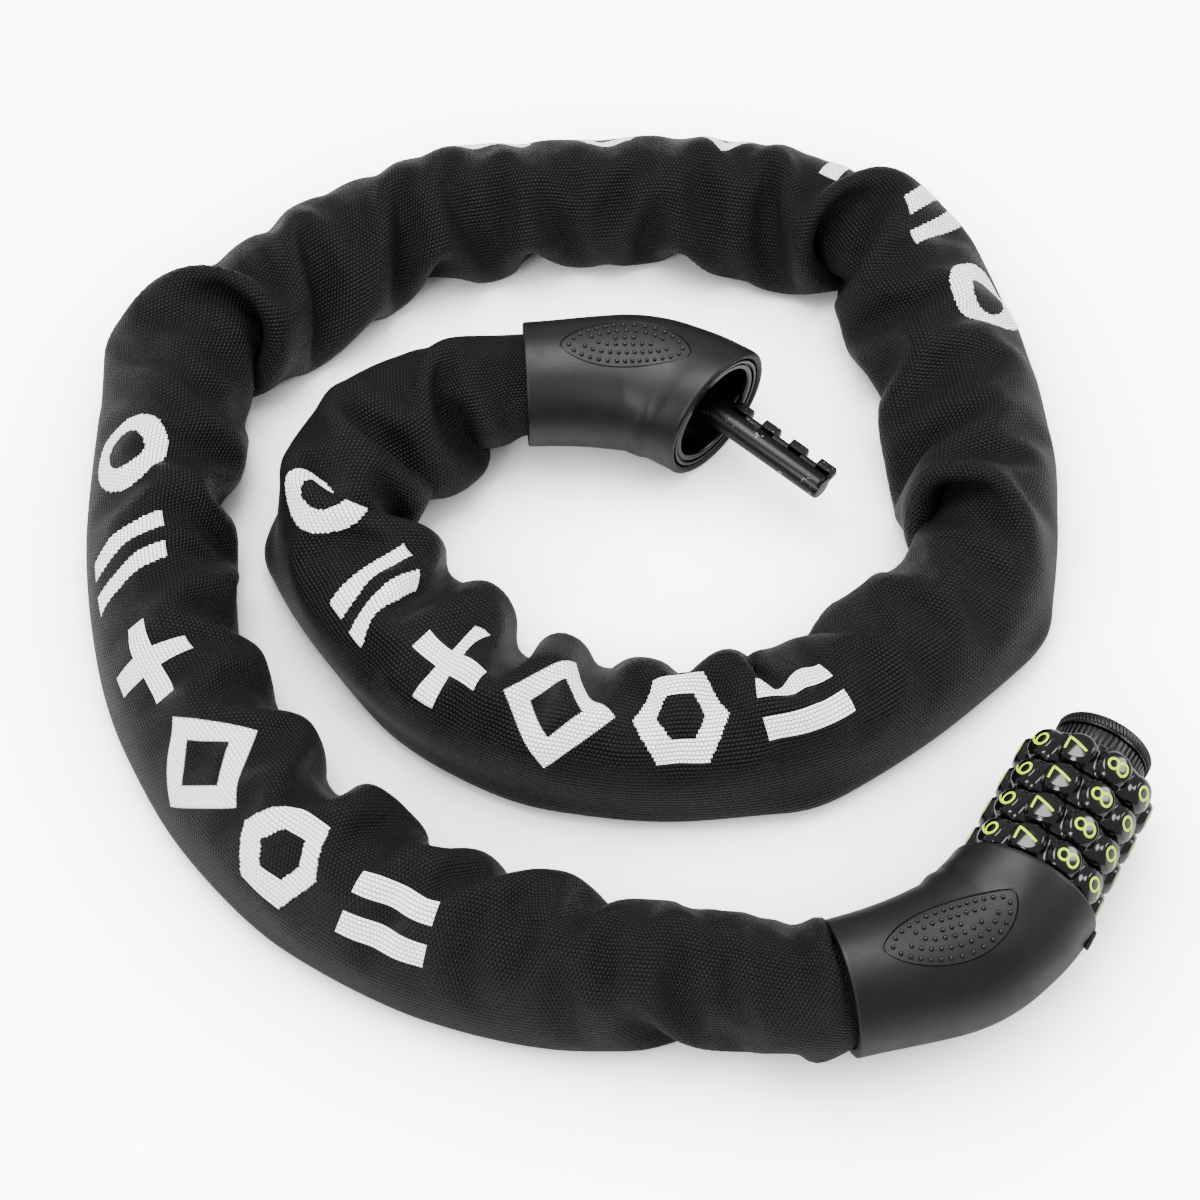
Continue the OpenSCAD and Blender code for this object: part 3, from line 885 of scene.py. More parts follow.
@dataclass(frozen=True)
class GripOutline:
    """Pointed oval on the elbow's skin: its middle, half length and half width."""

    middle: float = 26.0
    half_length: float = 17.0
    half_width: float = 7.7
    tip: float = 0.25
    wall: float = 0.32
    depth: float = 0.55
    bluntness: float = 0.68
    ramp: float = 0.9

    def width(self, d: float) -> float:
        """Half width of the oval at a distance along the elbow, never less than the tip."""
        u = min(1.0, abs((d - self.middle) / self.half_length))
        return max(self.tip, self.half_width * (1 - u * u) ** self.bluntness)

    def sink(self, d: float) -> float:
        """Depth of the oval's floor at a distance along the elbow."""
        u = abs((d - self.middle) / self.half_length)
        return self.depth * ease((1 - u) * self.half_length / self.ramp)


@dataclass
class HeadCover:
    """Moulded cover of a head, with its two sunk ovals, rolled mouth and bevelled collar."""

    name: str
    frame: HeadFrame
    finishes: Finishes
    wall: float = 2.4
    lip: float = 1.1
    bevel: float = 0.45
    outline: GripOutline = GripOutline()

    def angles(self, d: float) -> list[tuple[float, float]]:
        """Angles around the skin at a distance, with lines that follow the ovals' edges.

        Args:
            d: Distance from the collar's end.

        Returns:
            Pairs of angle in degrees and depth below the skin.
        """
        r = ELBOW.radius(d)
        half = math.degrees(self.outline.width(d) / r)
        wall = min(math.degrees(self.outline.wall / r), half * 0.45)
        floor = self.outline.sink(d)
        found: list[tuple[float, float]] = []
        for pole in Pole:
            across = [mix(-half + wall, half - wall, k / 12) for k in range(1, 12)]
            cross = [-half, -half + wall, *across, half - wall, half]
            depth = [0.0] + [floor] * 13 + [0.0]
            found += [(pole.value + a, s) for a, s in zip(cross, depth)]
            found += [(pole.value + mix(half, 180 - half, k / 44), 0.0) for k in range(1, 44)]
        return found

    def build(self) -> bpy.types.Object:
        """Build the cover as one closed shell.

        Returns:
            The cover.
        """
        length = ELBOW.length
        middle, reach = self.outline.middle, self.outline.half_length
        first, last = middle - reach, middle + reach
        stations = sorted({round(x, 3) for x in [
            *np.arange(1.0, length - self.lip, 1.0), *np.arange(first - 0.4, first + 3, 0.2),
            *np.arange(last - 3, last + 0.4, 0.2), *np.arange(first, last, 0.6)]})
        rings: list[list[Point]] = []
        edge = [(0.0, self.bevel + 0.25), (0.05, self.bevel), (self.bevel * 0.6, 0.12), (self.bevel + 0.2, 0.0)]
        for d, inset in edge:
            rings.append([ELBOW.point(d, a, ELBOW.skin(d, a) - inset) for a, _ in self.angles(d)])
        for d in stations:
            rings.append([ELBOW.point(d, a, ELBOW.skin(d, a) - s) for a, s in self.angles(d)])
        for k in range(7):
            turn = math.pi * k / 6
            d = length - self.lip * (1 - math.sin(turn))
            inset = self.lip * (1 - math.cos(turn))
            rings.append([ELBOW.point(d, a, ELBOW.skin(length, a) - inset) for a, _ in self.angles(length)])
        for d in [length - 3.0, length - 8, *np.arange(length - 12, 4.0, -2.5), 2.0, 0.35]:
            rings.append([ELBOW.point(d, a, ELBOW.radius(d) - self.wall) for a, _ in self.angles(d)])
        rings.append([ELBOW.point(0.0, a, ELBOW.radius(0) - self.wall + 0.35) for a, _ in self.angles(0.0)])
        points = [p for ring in rings for p in ring]
        place, plastic = self.frame.matrix(), self.finishes.cover
        shell = make_piece(self.name, points, ring_faces(len(rings), len(rings[0]), True), place, plastic, 28)
        tab_at = place @ Matrix.Translation((-3.6, -ELBOW.mouth_r - 0.05, 0))
        tab = rounded_block("tab", (4.6, 1.1, 2.2), tab_at, plastic)
        return show(join_pieces(self.name + "_shell", [shell, tab]), "lock", "cover_abs", self.name)


@dataclass
class GripPad:
    """Soft pad in a cover's oval, with rings of small raised dots."""

    name: str
    frame: HeadFrame
    pole: Pole
    finishes: Finishes
    outline: GripOutline = GripOutline()
    thickness: float = 0.3
    dot: float = 0.56
    pitch: float = 2.25
    loops: tuple[tuple[float, float], ...] = ((0.86, 0.77), (0.66, 0.46), (0.42, 0.14))

    def at(self, d: float, across: float, lift: float) -> Point:
        """Point over the pad's floor.

        Args:
            d: Distance from the collar's end.
            across: Millimetres from the oval's long axis.
            lift: Height above the recess's floor.

        Returns:
            The local point.
        """
        angle = self.pole.value + math.degrees(across / ELBOW.radius(d))
        return ELBOW.point(d, angle, ELBOW.skin(d, angle) - self.outline.depth + lift)

    def build(self) -> bpy.types.Object:
        """Build the pad and its dots.

        Returns:
            The pad.
        """
        reach, rows, columns = self.outline.half_length - 0.55, 48, 18
        points: list[Point] = []
        for i in range(rows + 1):
            d = self.outline.middle - reach * math.cos(math.pi * i / rows)
            half = max(0.05, self.outline.width(d) - self.outline.wall - 0.04)
            top = [self.at(d, mix(-half, half, j / columns), self.thickness) for j in range(columns + 1)]
            under = [self.at(d, mix(half, -half, j / columns), 0.02) for j in range(columns + 1)]
            points += top + under
        sides = 2 * (columns + 1)
        faces: list[Sequence[int]] = list(ring_faces(rows + 1, sides, False))
        faces += [tuple(range(sides)), tuple(rows * sides + j for j in reversed(range(sides)))]
        pad = make_piece(self.name + "_pad", points, faces, self.frame.matrix(), self.finishes.grip)
        ball = bmesh.new()
        bmesh.ops.create_uvsphere(ball, u_segments=10, v_segments=7, radius=self.dot * MM)
        mesh = bpy.data.meshes.new("dot")
        ball.to_mesh(mesh)
        ball.free()
        dot = bpy.data.objects.new("dot", mesh)
        bpy.context.scene.collection.objects.link(dot)
        places: list[Matrix] = []
        taken: list[tuple[float, float]] = []
        for along, across in self.loops:
            for d, side in self.loop_points(along, across):
                if any(math.dist((d, side), other) < 0.8 * self.pitch for other in taken):
                    continue
                taken.append((d, side))
                places.append(Matrix.Translation(self.frame.to_row(*self.at(d, side, self.thickness + 0.1))))
        dots = repeat_bead(self.name + "_dots", dot, places, self.finishes.dial)
        show(dots, "lock", "grip_rubber")
        return show(pad, "lock", "grip_rubber", self.name)

    def loop_points(self, along: float, across: float) -> list[tuple[float, float]]:
        """Evenly spaced points on one loop of dots.

        Args:
            along: Share of the oval's half length that the loop reaches.
            across: Share of its half width.

        Returns:
            Distance along the elbow and across it for each dot.
        """
        turns = np.linspace(0, 2 * math.pi, 721)
        x = along * self.outline.half_length * np.cos(turns)
        y = across * self.outline.half_width * np.sin(turns) * np.abs(np.sin(turns)) ** 0.25
        run = np.concatenate([[0], np.cumsum(np.hypot(np.diff(x), np.diff(y)))])
        count = max(4, round(run[-1] / self.pitch))
        at = (np.arange(count) + 0.5) * run[-1] / count
        pairs = zip(np.interp(at, run, x), np.interp(at, run, y))
        return [(self.outline.middle + float(a), float(b)) for a, b in pairs]


def lathe(
    name: str, outline: Sequence[tuple[float, float]], frame: HeadFrame, material: bpy.types.Material,
    sides: int = 128, sharp: float = 32.0,
) -> bpy.types.Object:
    """Turn a closed outline about the lock axis.

    Args:
        name: Name of the object.
        outline: Points as distance along the axis and radius, in millimetres.
        frame: Head whose axis is used.
        material: Finish.
        sides: Points around the axis.
        sharp: Angle above which an edge stays crisp.

    Returns:
        The turned piece.
    """
    points = [
        (x, r * math.cos(2 * math.pi * j / sides), r * math.sin(2 * math.pi * j / sides))
        for x, r in outline for j in range(sides)
    ]
    closed = outline[0][1] > 0
    return make_piece(name, points, ring_faces(len(outline), sides, closed), frame.matrix(), material, sharp)


@dataclass
class CupLiner:
    """Stepped gloss ring and cup inside the shank head's mouth."""

    finishes: Finishes
    depth: float = 9.5
    tail_r: float = 14.2

    def build(self) -> bpy.types.Object:
        """Build the liner with its guide lug.

        Returns:
            The liner.
        """
        outline = [
            (-11.0, 5.1), (-11.0, self.tail_r), (-5.0, self.tail_r), (-2.4, 15.2), (-0.75, 15.9),
            (-0.5, 15.8), (-0.45, 15.6), (-0.45, 15.2), (-0.55, 15.05), (-1.5, 15.0), (-1.5, 14.55),
            (-0.85, 14.5), (-0.7, 14.35), (-0.7, 13.6),
            (-0.8, 13.3), (-1.1, 13.05), (-1.6, 13.0), (-self.depth, 12.95), (-self.depth, 5.1),
        ]
        ring = lathe("liner_ring", outline, SHANK_HEAD, self.finishes.liner, 160, 40)
        lug_at = Matrix.Rotation(math.radians(150), 4, "X") @ Matrix.Translation((-3.4, 12.5, 0))
        lug = rounded_block("lug", (2.8, 1.4, 2.6), SHANK_HEAD.matrix() @ lug_at, self.finishes.liner, 0.25)
        return show(join_pieces("cup_liner_ring", [ring, lug]), "lock", "liner_abs", "cup_liner")


@dataclass
class ToothedShank:
    """Round bar with a rib and four teeth that read the code rings."""

    finishes: Finishes
    radius: float = 3.25
    reach: float = 34.5
    tooth: Point = (5.2, 3.3, 2.8)
    pitch: float = 9.0
    count: int = 4

    def build(self) -> bpy.types.Object:
        """Build the shank with its spigot, rib and teeth.

        Returns:
            The shank.
        """
        r, reach = self.radius, self.reach
        outline = [
            (-20.05, 0.0), (-20.05, 4.6), (-19.65, 5.0), (-9.4, 5.0), (-8.9, 4.7),
            (-8.7, r + 0.35), (-8.3, r), (reach - 0.8, r),
            (reach - 0.35, r - 0.12), (reach - 0.08, r - 0.45), (reach, r - 0.9), (reach, 0.0),
        ]
        steel, place = self.finishes.shank, SHANK_HEAD.matrix()
        parts = [lathe("bar", outline, SHANK_HEAD, steel, 72, 40)]
        rib_length = reach - 0.4 + 8.0
        rib_at = Matrix.Translation((reach - 0.4 - rib_length / 2, -r - 0.1, 0))
        parts.append(rounded_block("rib", (rib_length, 2.2, self.tooth[2]), place @ rib_at, steel, 0.4, 3))
        for k in range(self.count):
            x = reach - 0.4 - self.tooth[0] / 2 - k * self.pitch
            at = Matrix.Translation((x, -r - self.tooth[1] / 2 + 0.6, 0))
            size = (self.tooth[0], self.tooth[1] + 1.2, self.tooth[2])
            parts.append(rounded_block("tooth", size, place @ at, steel, 0.5, 3))
        return show(join_pieces("shank_bar", parts), "lock", "shank_steel", "shank")


# ---------------------------------------------------------------- dials


def arc(
    cx: float, cy: float, rx: float, ry: float, start: float, end: float, steps: int = 18
) -> list[tuple[float, float]]:
    """Points on part of an ellipse, angles in degrees."""
    turns = [math.radians(mix(start, end, k / steps)) for k in range(steps + 1)]
    return [(cx + rx * math.cos(a), cy + ry * math.sin(a)) for a in turns]


class Figure(Enum):
    """Strokes of the dial figures in a unit box, x to the right and y up."""

    ZERO = ([*arc(0.5, 0.5, 0.47, 0.5, 0, 360, 30)],)
    ONE = ([(0.15, 0.76), (0.55, 1.0), (0.55, 0.0)],)
    TWO = ([*arc(0.5, 0.7, 0.47, 0.3, 165, -25), (0.02, 0.0), (1.0, 0.0)],)
    THREE = ([*arc(0.46, 0.76, 0.42, 0.24, 150, -90), *arc(0.46, 0.26, 0.5, 0.26, 90, -150)[1:]],)
    FOUR = ([(0.72, 0.0), (0.72, 1.0), (0.0, 0.3), (1.0, 0.3)],)
    FIVE = ([(0.92, 1.0), (0.14, 1.0), (0.08, 0.56), *arc(0.47, 0.32, 0.5, 0.32, 125, -145)],)
    SIX = ([
        (0.86, 1.0), (0.5, 0.86), (0.18, 0.6), (0.03, 0.31), *arc(0.5, 0.31, 0.47, 0.31, 180, 540, 26)[1:],
    ],)
    SEVEN = ([(0.0, 1.0), (1.0, 1.0), (0.3, 0.0)],)
    EIGHT = ([*arc(0.5, 0.76, 0.4, 0.24, -90, 270, 24)], [*arc(0.5, 0.26, 0.48, 0.26, 90, 450, 24)])
    NINE = ([(0.14, 0.0), (0.5, 0.14), (0.82, 0.4), (0.97, 0.69), *arc(0.5, 0.69, 0.47, 0.31, 0, 360, 26)[1:]],)


@dataclass
class Dial:
    """One number dial: ten raised oval buttons with grooves round them and painted figures."""

    number: int
    finishes: Finishes
    pitch: float = 9.0
    width: float = 8.6
    stack_at: float = 0.7
    body_r: float = 15.25
    bore_r: float = 10.1
    button_r: float = 17.2
    figure: tuple[float, float] = (3.3, 5.1)
    stroke: float = 0.36
    turn: float = -12.5
    aligned: int = 7

    @property
    def middle(self) -> float:
        """Place of the dial's middle on the lock axis."""
        return self.stack_at + (4 - self.number) * self.pitch + 4.05

    def skin(self, x: float, angle: float) -> float:
        """Radius of the dial's skin.

        Args:
            x: Distance from the dial's middle along the axis.
            angle: Degrees from the middle of the top button.

        Returns:
            The radius in millimetres.
        """
        near = (angle + 18) % 36 - 18
        t = math.radians(near) * self.button_r
        rim = abs(x) / (self.width / 2)
        body = self.body_r - 0.9 * rim**6
        lobe = math.hypot(x / 4.9, t / 5.0)
        swell = 1.85 * ease((1.12 - lobe) / 0.42)
        button = math.hypot(x / 3.3, t / 3.85)
        top = self.button_r + 0.03 - 0.3 * button**2
        level = mix(body + swell, top, ease((1.05 - button) / 0.1))
        groove = 0.24 * math.exp(-(((button - 1.1) / 0.085) ** 2))
        return level - groove

    def glyph(self, digit: int) -> list[list[Point]]:
        """Lines of one figure, laid just under the skin.

        Args:
            digit: Figure from 0 to 9.

        Returns:
            Lines of local points.
        """
        centre = self.turn + 36 * (digit - self.aligned)
        lines = []
        for path in list(Figure)[digit].value:
            fine: list[tuple[float, float]] = [path[0]]
            for a, b in zip(path, path[1:]):
                steps = max(1, math.ceil(math.dist(a, b) / 0.12))
                fine += [(mix(a[0], b[0], k / steps), mix(a[1], b[1], k / steps)) for k in range(1, steps + 1)]
            line = []
            for gx, gy in fine:
                x = (gx - 0.5) * self.figure[0]
                down = (0.5 - gy) * self.figure[1]
                angle = math.degrees(down / self.button_r)
                r = self.skin(x, angle) - self.stroke * 0.86
                a = math.radians(centre + angle)
                line.append((self.middle + x, -r * math.sin(a), r * math.cos(a)))
            lines.append(line)
        return lines

    def build(self) -> bpy.types.Object:
        """Build the dial and its figures.

        Returns:
            The dial.
        """
        spins, half = 480, self.width / 2
        across = [half * math.sin(math.pi / 2 * k / 20) for k in range(-20, 21)]
        inner = [(half - 0.15, self.bore_r), (-half + 0.15, self.bore_r)]
        points: list[Point] = []
        for j in range(spins):
            angle = 360 * j / spins
            a = math.radians(angle + self.turn)
            outer = [(x, self.skin(x, angle)) for x in across]
            loop = [*outer, (half, self.bore_r + 0.15), *inner, (-half, self.bore_r + 0.15)]
            points += [(self.middle + x, -r * math.sin(a), r * math.cos(a)) for x, r in loop]
        faces = ring_faces(spins, len(across) + 4, True)
        body, name = f"dial_{self.number}_body", f"dial_{self.number}"
        piece = show(
            make_piece(name + "_ring", points, faces, DIAL_HEAD.matrix(), self.finishes.dial, 40),
            body, "dial_abs", name,
        )
        lines = [line for digit in range(10) for line in self.glyph(digit)]
        width, place = self.stroke * 1.25, DIAL_HEAD.matrix()
        figures = sweep_strokes(name + "_figures", lines, width, place, self.finishes.paint)
        show(figures, body, "dial_abs")
        return piece


@dataclass
class Knob:
    """Ribbed reset ring and the rope-knurled end cap."""

    finishes: Finishes
    ring_from: float = 37.0
    ring_to: float = 41.6
    cap_from: float = 41.9
    cap_to: float = 44.9
    radius: float = 11.4
    ribs: int = 52
    beads: int = 76

    def around(self, x: float, r: float, count: int, k: int, tilt: float) -> Matrix:
        """Place of one of count copies around the axis.

        Args:
            x: Place along the axis.
            r: Distance from the axis.
            count: Number of copies.
            k: Number of this copy.
            tilt: Turn about the radius, in degrees.

        Returns:
            The place in the row frame, in millimetres.
        """
        spin = Matrix.Rotation(2 * math.pi * k / count, 4, "X")
        lean = Matrix.Rotation(math.radians(tilt), 4, "Z")
        return DIAL_HEAD.matrix() @ spin @ Matrix.Translation((x, 0, r)) @ lean

    def build(self) -> None:
        """Build the ring with its ribs, and the cap's rope edge."""
        plastic = self.finishes.knob
        a, b, r = self.ring_from, self.ring_to, self.radius
        outline = [(a, 8.15), (a, r - 0.7), (a + 0.3, r - 0.4), (b - 0.3, r - 0.4), (b, r - 0.7), (b, 8.15)]
        ring = lathe("ring", outline, DIAL_HEAD, plastic)
        rib = rounded_block("rib", (b - a - 0.3, 0.95, 1.0), Matrix.Identity(4), plastic, 0.28)
        places = [self.around((a + b) / 2, r - 0.3, self.ribs, k, 0) for k in range(self.ribs)]
        ribs = repeat_bead("reset_ring_ribs", rib, places, plastic)
        show(join_pieces("reset_ring_ribbed", [ring, ribs]), "reset_body", "knob_abs", "reset_ring")
        ball = rounded_block("bead", (2.6, 0.78, 1.0), Matrix.Identity(4), plastic, 0.3, 2)
        middle = (self.cap_from + self.cap_to) / 2 + 0.1
        places = [self.around(middle, 11.55, self.beads, k, 28) for k in range(self.beads)]
        rope = repeat_bead("end_cap_rope", ball, places, plastic)
        show(rope, "lock", "knob_abs")


# ---------------------------------------------------------------- sleeve


@dataclass(frozen=True)
class ChainRoute:
    """Line of the chain from the shank head's pin to the dial head's pin."""

    middle: tuple[tuple[float, float], ...] = (
        (-40, 48), (-56, 38), (-66, 18), (-66, -3), (-53, -25), (-37, -40), (-19, -49), (1, -54),
        (22, -54), (42, -51), (59, -41), (77, -25), (92, -5), (98, 18), (96, 46), (88, 76),
        (74, 100), (51, 115), (26, 118), (0, 117), (-28, 115), (-53, 108), (-76, 94), (-98, 74),
        (-108, 49), (-112, 23), (-110, -3), (-106, -26), (-96, -46), (-84, -66), (-68, -84), (-47, -96),
        (-27, -106), (-7, -112), (14, -112), (32, -115),
    )
    height: float = 14.2
    head_height: float = 18.5
    pin_at: float = 17.0
    collar_exit: float = 6.0
    fall: tuple[float, ...] = (0.12, 0.5, 0.85, 1.0)

    def points(self) -> np.ndarray:
        """Guide points of the route.

        Returns:
            Array of points in millimetres.
        """
        def lowered(n: int) -> float:
            """Height n points away from a head."""
            return self.head_height - (self.head_height - self.height) * self.fall[min(n, 3)]

        def end(frame: HeadFrame, d: float) -> list[float]:
            """Point inside a collar, or outside it where d is below zero."""
            x, y = ELBOW.collar
            p = frame.to_row(x + d * math.cos(ELBOW.bend), y - d * math.sin(ELBOW.bend), 0)
            return [p.x, p.y, lowered(0) if d < 0 else self.head_height]

        count = len(self.middle)
        inner = [[x, y, lowered(1 + min(i, count - 1 - i))] for i, (x, y) in enumerate(self.middle)]
        first = [end(SHANK_HEAD, d) for d in (self.pin_at, 0.0, -self.collar_exit)]
        last = [end(DIAL_HEAD, d) for d in (-self.collar_exit, 0.0, self.pin_at)]
        return np.array(first + inner + last)

    def sample(self, step: float) -> tuple[np.ndarray, np.ndarray]:
        """Evenly spaced points on the smooth route.

        Args:
            step: Wanted spacing in millimetres.

        Returns:
            Points and unit directions.
        """
        p = self.points()
        p = np.vstack([2 * p[0] - p[1], p, 2 * p[-1] - p[-2]])
        t = np.linspace(0, 1, 24, endpoint=False)[:, None]
        fine = np.vstack([
            0.5 * (2 * b + (c - a) * t + (2 * a - 5 * b + 4 * c - d) * t**2 + (3 * b - a - 3 * c + d) * t**3)
            for a, b, c, d in zip(p, p[1:], p[2:], p[3:])
        ] + [p[-2][None]])
        run = np.concatenate([[0], np.cumsum(np.linalg.norm(np.diff(fine, axis=0), axis=1))])
        s = np.linspace(0, run[-1], int(run[-1] / step) + 1)
        line = np.stack([np.interp(s, run, fine[:, k]) for k in range(3)], 1)
        heading = np.gradient(line, axis=0)
        return line, heading / np.linalg.norm(heading, axis=1)[:, None]


@dataclass(frozen=True)
class ClothFeel:
    """How the webbing answers in one step: shares of an error put right, and pushes in millimetres."""

    thread: float = 0.95
    shear: float = 0.18
    bend_along: float = 0.16
    bend_around: float = 0.3
    fold_along: float = 0.93
    fold_around: float = 0.96
    swell: float = 0.017
    weight: float = 0.012
    kept_speed: float = 0.9
    top_speed: float = 1.2


@dataclass
class Sleeve:
    """Woven tube, longer and wider than the chain in it, let fall and buckle over it."""

    finishes: Finishes
    route: ChainRoute = ChainRoute()
    feel: ClothFeel = ClothFeel()
    rings: int = 300
    sides: int = 40
    flat_around: float = 109.0
    flat_along: float = 1070.0
    neck_r: float = 12.3
    half_wide: float = 17.4
    half_tall: float = 13.6
    crumple: float = 2.6
    wall: float = 0.7
    floor: float = 0.9
    chain_r: float = 13.0
    chain_flats: float = 1.2
    steps: int = 320
    sweeps: int = 6
    pinned: int = 6
    seed: int = 11
    fullness: tuple[tuple[float, float], ...] = (
        (0, 1.0), (60, 1.02), (120, 1.05), (200, 1.0), (260, 1.0), (330, 1.06), (400, 1.03), (440, 0.95),
        (520, 0.95), (600, 1.02), (650, 0.95), (700, 0.94), (780, 1.02), (830, 0.98), (870, 0.88),
        (918, 0.86),
    )
    band: tuple[tuple[float, float], ...] = (
        (0, 95), (60, 104), (250, 106), (383, 140), (450, 155), (530, 163), (600, 142), (660, 120), (840, 120),
        (918, 150),
    )

    def band_turn(self, s: np.ndarray) -> np.ndarray:
        """Angle of the printed band's middle round the tube, in radians, 90 degrees being the top."""
        return np.radians(np.interp(s, *zip(*self.band)))

    def pinch(self, s: np.ndarray, angle: np.ndarray) -> np.ndarray:
        """Inward push of the folds that a hand left in the cloth.

        Args:
            s: Distance along the chain.
            angle: Angle round the tube in radians, 0 on the inner side.

        Returns:
            Millimetres towards the chain.
        """
        total = np.zeros(np.broadcast(s, angle).shape)
        for at, side, depth, width in PINCHES:
            near = np.exp(-(((s - at) / width) ** 2))
            facing = np.exp(-((np.angle(np.exp(1j * (angle - math.radians(side)))) / 0.75) ** 2))
            total = total + depth * near * facing
        return total

    def start(self) -> tuple[np.ndarray, np.ndarray, np.ndarray]:
        """First shape of the cloth and the route under it.

        Returns:
            Grid of points, the route's points and the route's directions.
        """
        line, heading = self.route.sample(1.0)
        length = len(line) - 1.0
        s = np.linspace(4.0, length - 4.0, self.rings)
        centre = np.stack([np.interp(s, np.arange(len(line)), line[:, k]) for k in range(3)], 1)
        forward = np.stack([np.interp(s, np.arange(len(line)), heading[:, k]) for k in range(3)], 1)
        side = np.cross([0, 0, 1.0], forward)
        side /= np.linalg.norm(side, axis=1)[:, None]
        up = np.cross(forward, side)
        out = np.minimum(s, length - s)
        loose = np.clip((out - 19) / 24, 0, 1) ** 0.8
        angle = 2 * np.pi * np.arange(self.sides)[None] / self.sides + self.band_turn(s)[:, None]
        rng = np.random.default_rng(self.seed)
        rough = self.smooth_noise(rng)
        wide = self.neck_r + (self.half_wide - self.neck_r) * loose
        tall = self.neck_r + (self.half_tall - self.neck_r) * loose
        push = (self.pinch(s[:, None], angle) + self.crumple * rough) * loose[:, None]
        reach = 1 - push / 17
        a = (wide[:, None] * np.cos(angle) * reach)[..., None]
        b = (tall[:, None] * np.sin(angle) * reach)[..., None]
        grid = centre[:, None] + a * side[:, None] + b * up[:, None]
        grid[..., 2] = np.maximum(grid[..., 2], self.floor)
        return grid, line, heading

    def smooth_noise(self, rng: np.random.Generator) -> np.ndarray:
        """Seeded bumps a few rings long, to break up the folds.

        Args:
            rng: Seeded generator.

        Returns:
            Grid of values near -1 to 1.
        """
        raw = rng.standard_normal((self.rings, self.sides))
        wave = np.fft.rfftfreq(self.rings)[:, None]
        turn = np.abs(np.fft.fftfreq(self.sides))[None]
        keep = np.exp(-(((wave - 0.11) / 0.06) ** 2) - (turn / 0.09) ** 2)
        spectrum = np.fft.rfft2(raw.T).T
        bumps = np.fft.irfft2((spectrum * keep).T, s=(self.sides, self.rings)).T
        return bumps / np.abs(bumps).max()

    @staticmethod
    def pull(
        a: np.ndarray, b: np.ndarray, rest: np.ndarray | float, stiff: float, only_short: bool = False
    ) -> None:
        """Move two sets of points so that each pair keeps its distance.

        Args:
            a: First points, changed in place.
            b: Second points, changed in place.
            rest: Distance that the cloth wants.
            stiff: Share of the error put right.
            only_short: Whether only pairs that are too close are pushed.
        """
        gap = b - a
        size = np.sqrt((gap * gap).sum(-1, keepdims=True)) + 1e-9
        error = size - rest
        if only_short:
            error = np.minimum(error, 0)
        move = gap * (0.5 * stiff * error / size)
        a += move
        b -= move

    def constrain(self, x: np.ndarray, along: float, around: np.ndarray) -> None:
        """Run one sweep over every thread of the cloth.

        Args:
            x: Grid of points, changed in place.
            along: Rest distance between rings.
            around: Rest distance between neighbours in each ring.
        """
        n, feel = self.rings, self.feel
        for k in (0, 1):
            last = n - ((n - k) % 2)
            self.pull(x[k:last:2], x[k + 1 : last : 2], along, feel.thread)
        for k in (0, 1):
            a = x[:, k::2]
            b = np.roll(x, -1, axis=1)[:, k::2].copy()
            self.pull(a, b, around, feel.thread)
            if k == 0:
                x[:, 1::2] = b
            else:
                x[:, 0::2] = np.roll(b, 1, axis=1)
        lean = np.sqrt(along**2 + around**2)
        for k in (0, 1):
            last = n - ((n - k) % 2)
            for way in (1, -1):
                a = x[k:last:2]
                b = np.roll(x[k + 1 : last : 2], -way, axis=1).copy()
                self.pull(a, b, lean[k:last:2], feel.shear)
                x[k + 1 : last : 2] = np.roll(b, way, axis=1)
        for k in range(4):
            a, b = x[k : n - 2 : 4], x[k + 2 : n : 4]
            m = min(len(a), len(b))
            self.pull(a[:m], b[:m], 2 * along * feel.fold_along, feel.bend_along, True)
        for k in range(4):
            a = x[:, k::4]
            b = np.roll(x, -2, axis=1)[:, k::4].copy()
            self.pull(a, b, 2 * around * feel.fold_around, feel.bend_around, True)
            if k < 2:
                x[:, k + 2 :: 4] = b
            else:
                x[:, k - 2 :: 4] = np.roll(b, 1, axis=1)

    def relax(self) -> np.ndarray:
        """Let the cloth fall, swell and buckle over the chain.

        Returns:
            Grid of settled points.
        """
        x, line, heading = self.start()
        feel, held = self.feel, x.copy()
        rings = np.arange(self.rings)
        ends = (rings < self.pinned) | (rings >= self.rings - self.pinned)
        along = self.flat_along / (self.rings - 1)
        around_loose = self.flat_around / self.sides
        first = np.linalg.norm(np.roll(x, -1, axis=1) - x, axis=-1).mean(1)
        gather = np.clip((np.minimum(rings, self.rings - 1 - rings) - self.pinned) / 9, 0, 1)
        spread = np.interp(np.linspace(0, 918, self.rings), *zip(*self.fullness))
        around = (first * (1 - gather) + around_loose * spread * gather)[:, None, None]
        v = np.zeros_like(x)
        side = np.cross([0, 0, 1.0], heading)
        side /= np.linalg.norm(side, axis=1)[:, None]
        up = np.cross(heading, side)
        guess = np.rint(np.linspace(4, len(line) - 5, self.rings)).astype(int)
        window = np.arange(-16, 17, 2)
        near = np.repeat(guess[:, None], self.sides, 1)
        steps = self.steps
        for step in range(steps):
            if step % 8 == 0:
                pick = np.clip(guess[:, None] + window[None], 0, len(line) - 1)
                far = ((x[:, :, None] - line[pick][:, None]) ** 2).sum(-1)
                near = np.take_along_axis(pick, far.argmin(2), 1)
            normal = np.cross(np.roll(x, -1, axis=1) - np.roll(x, 1, axis=1), np.gradient(x, axis=0))
            normal /= np.linalg.norm(normal, axis=-1, keepdims=True) + 1e-9
            outward = (normal * (x - line[near])).sum(-1).mean() > 0
            swell = feel.swell * (1 if outward else -1)
            v = feel.kept_speed * v + normal * swell + np.array([0, 0, -feel.weight])
            was = x.copy()
            x = x + v
            for _ in range(self.sweeps):
                self.constrain(x, along, around)
                away = x - line[near]
                a = (away * side[near]).sum(-1)
                b = (away * up[near]).sum(-1)
                r = np.hypot(a, b) + 1e-9
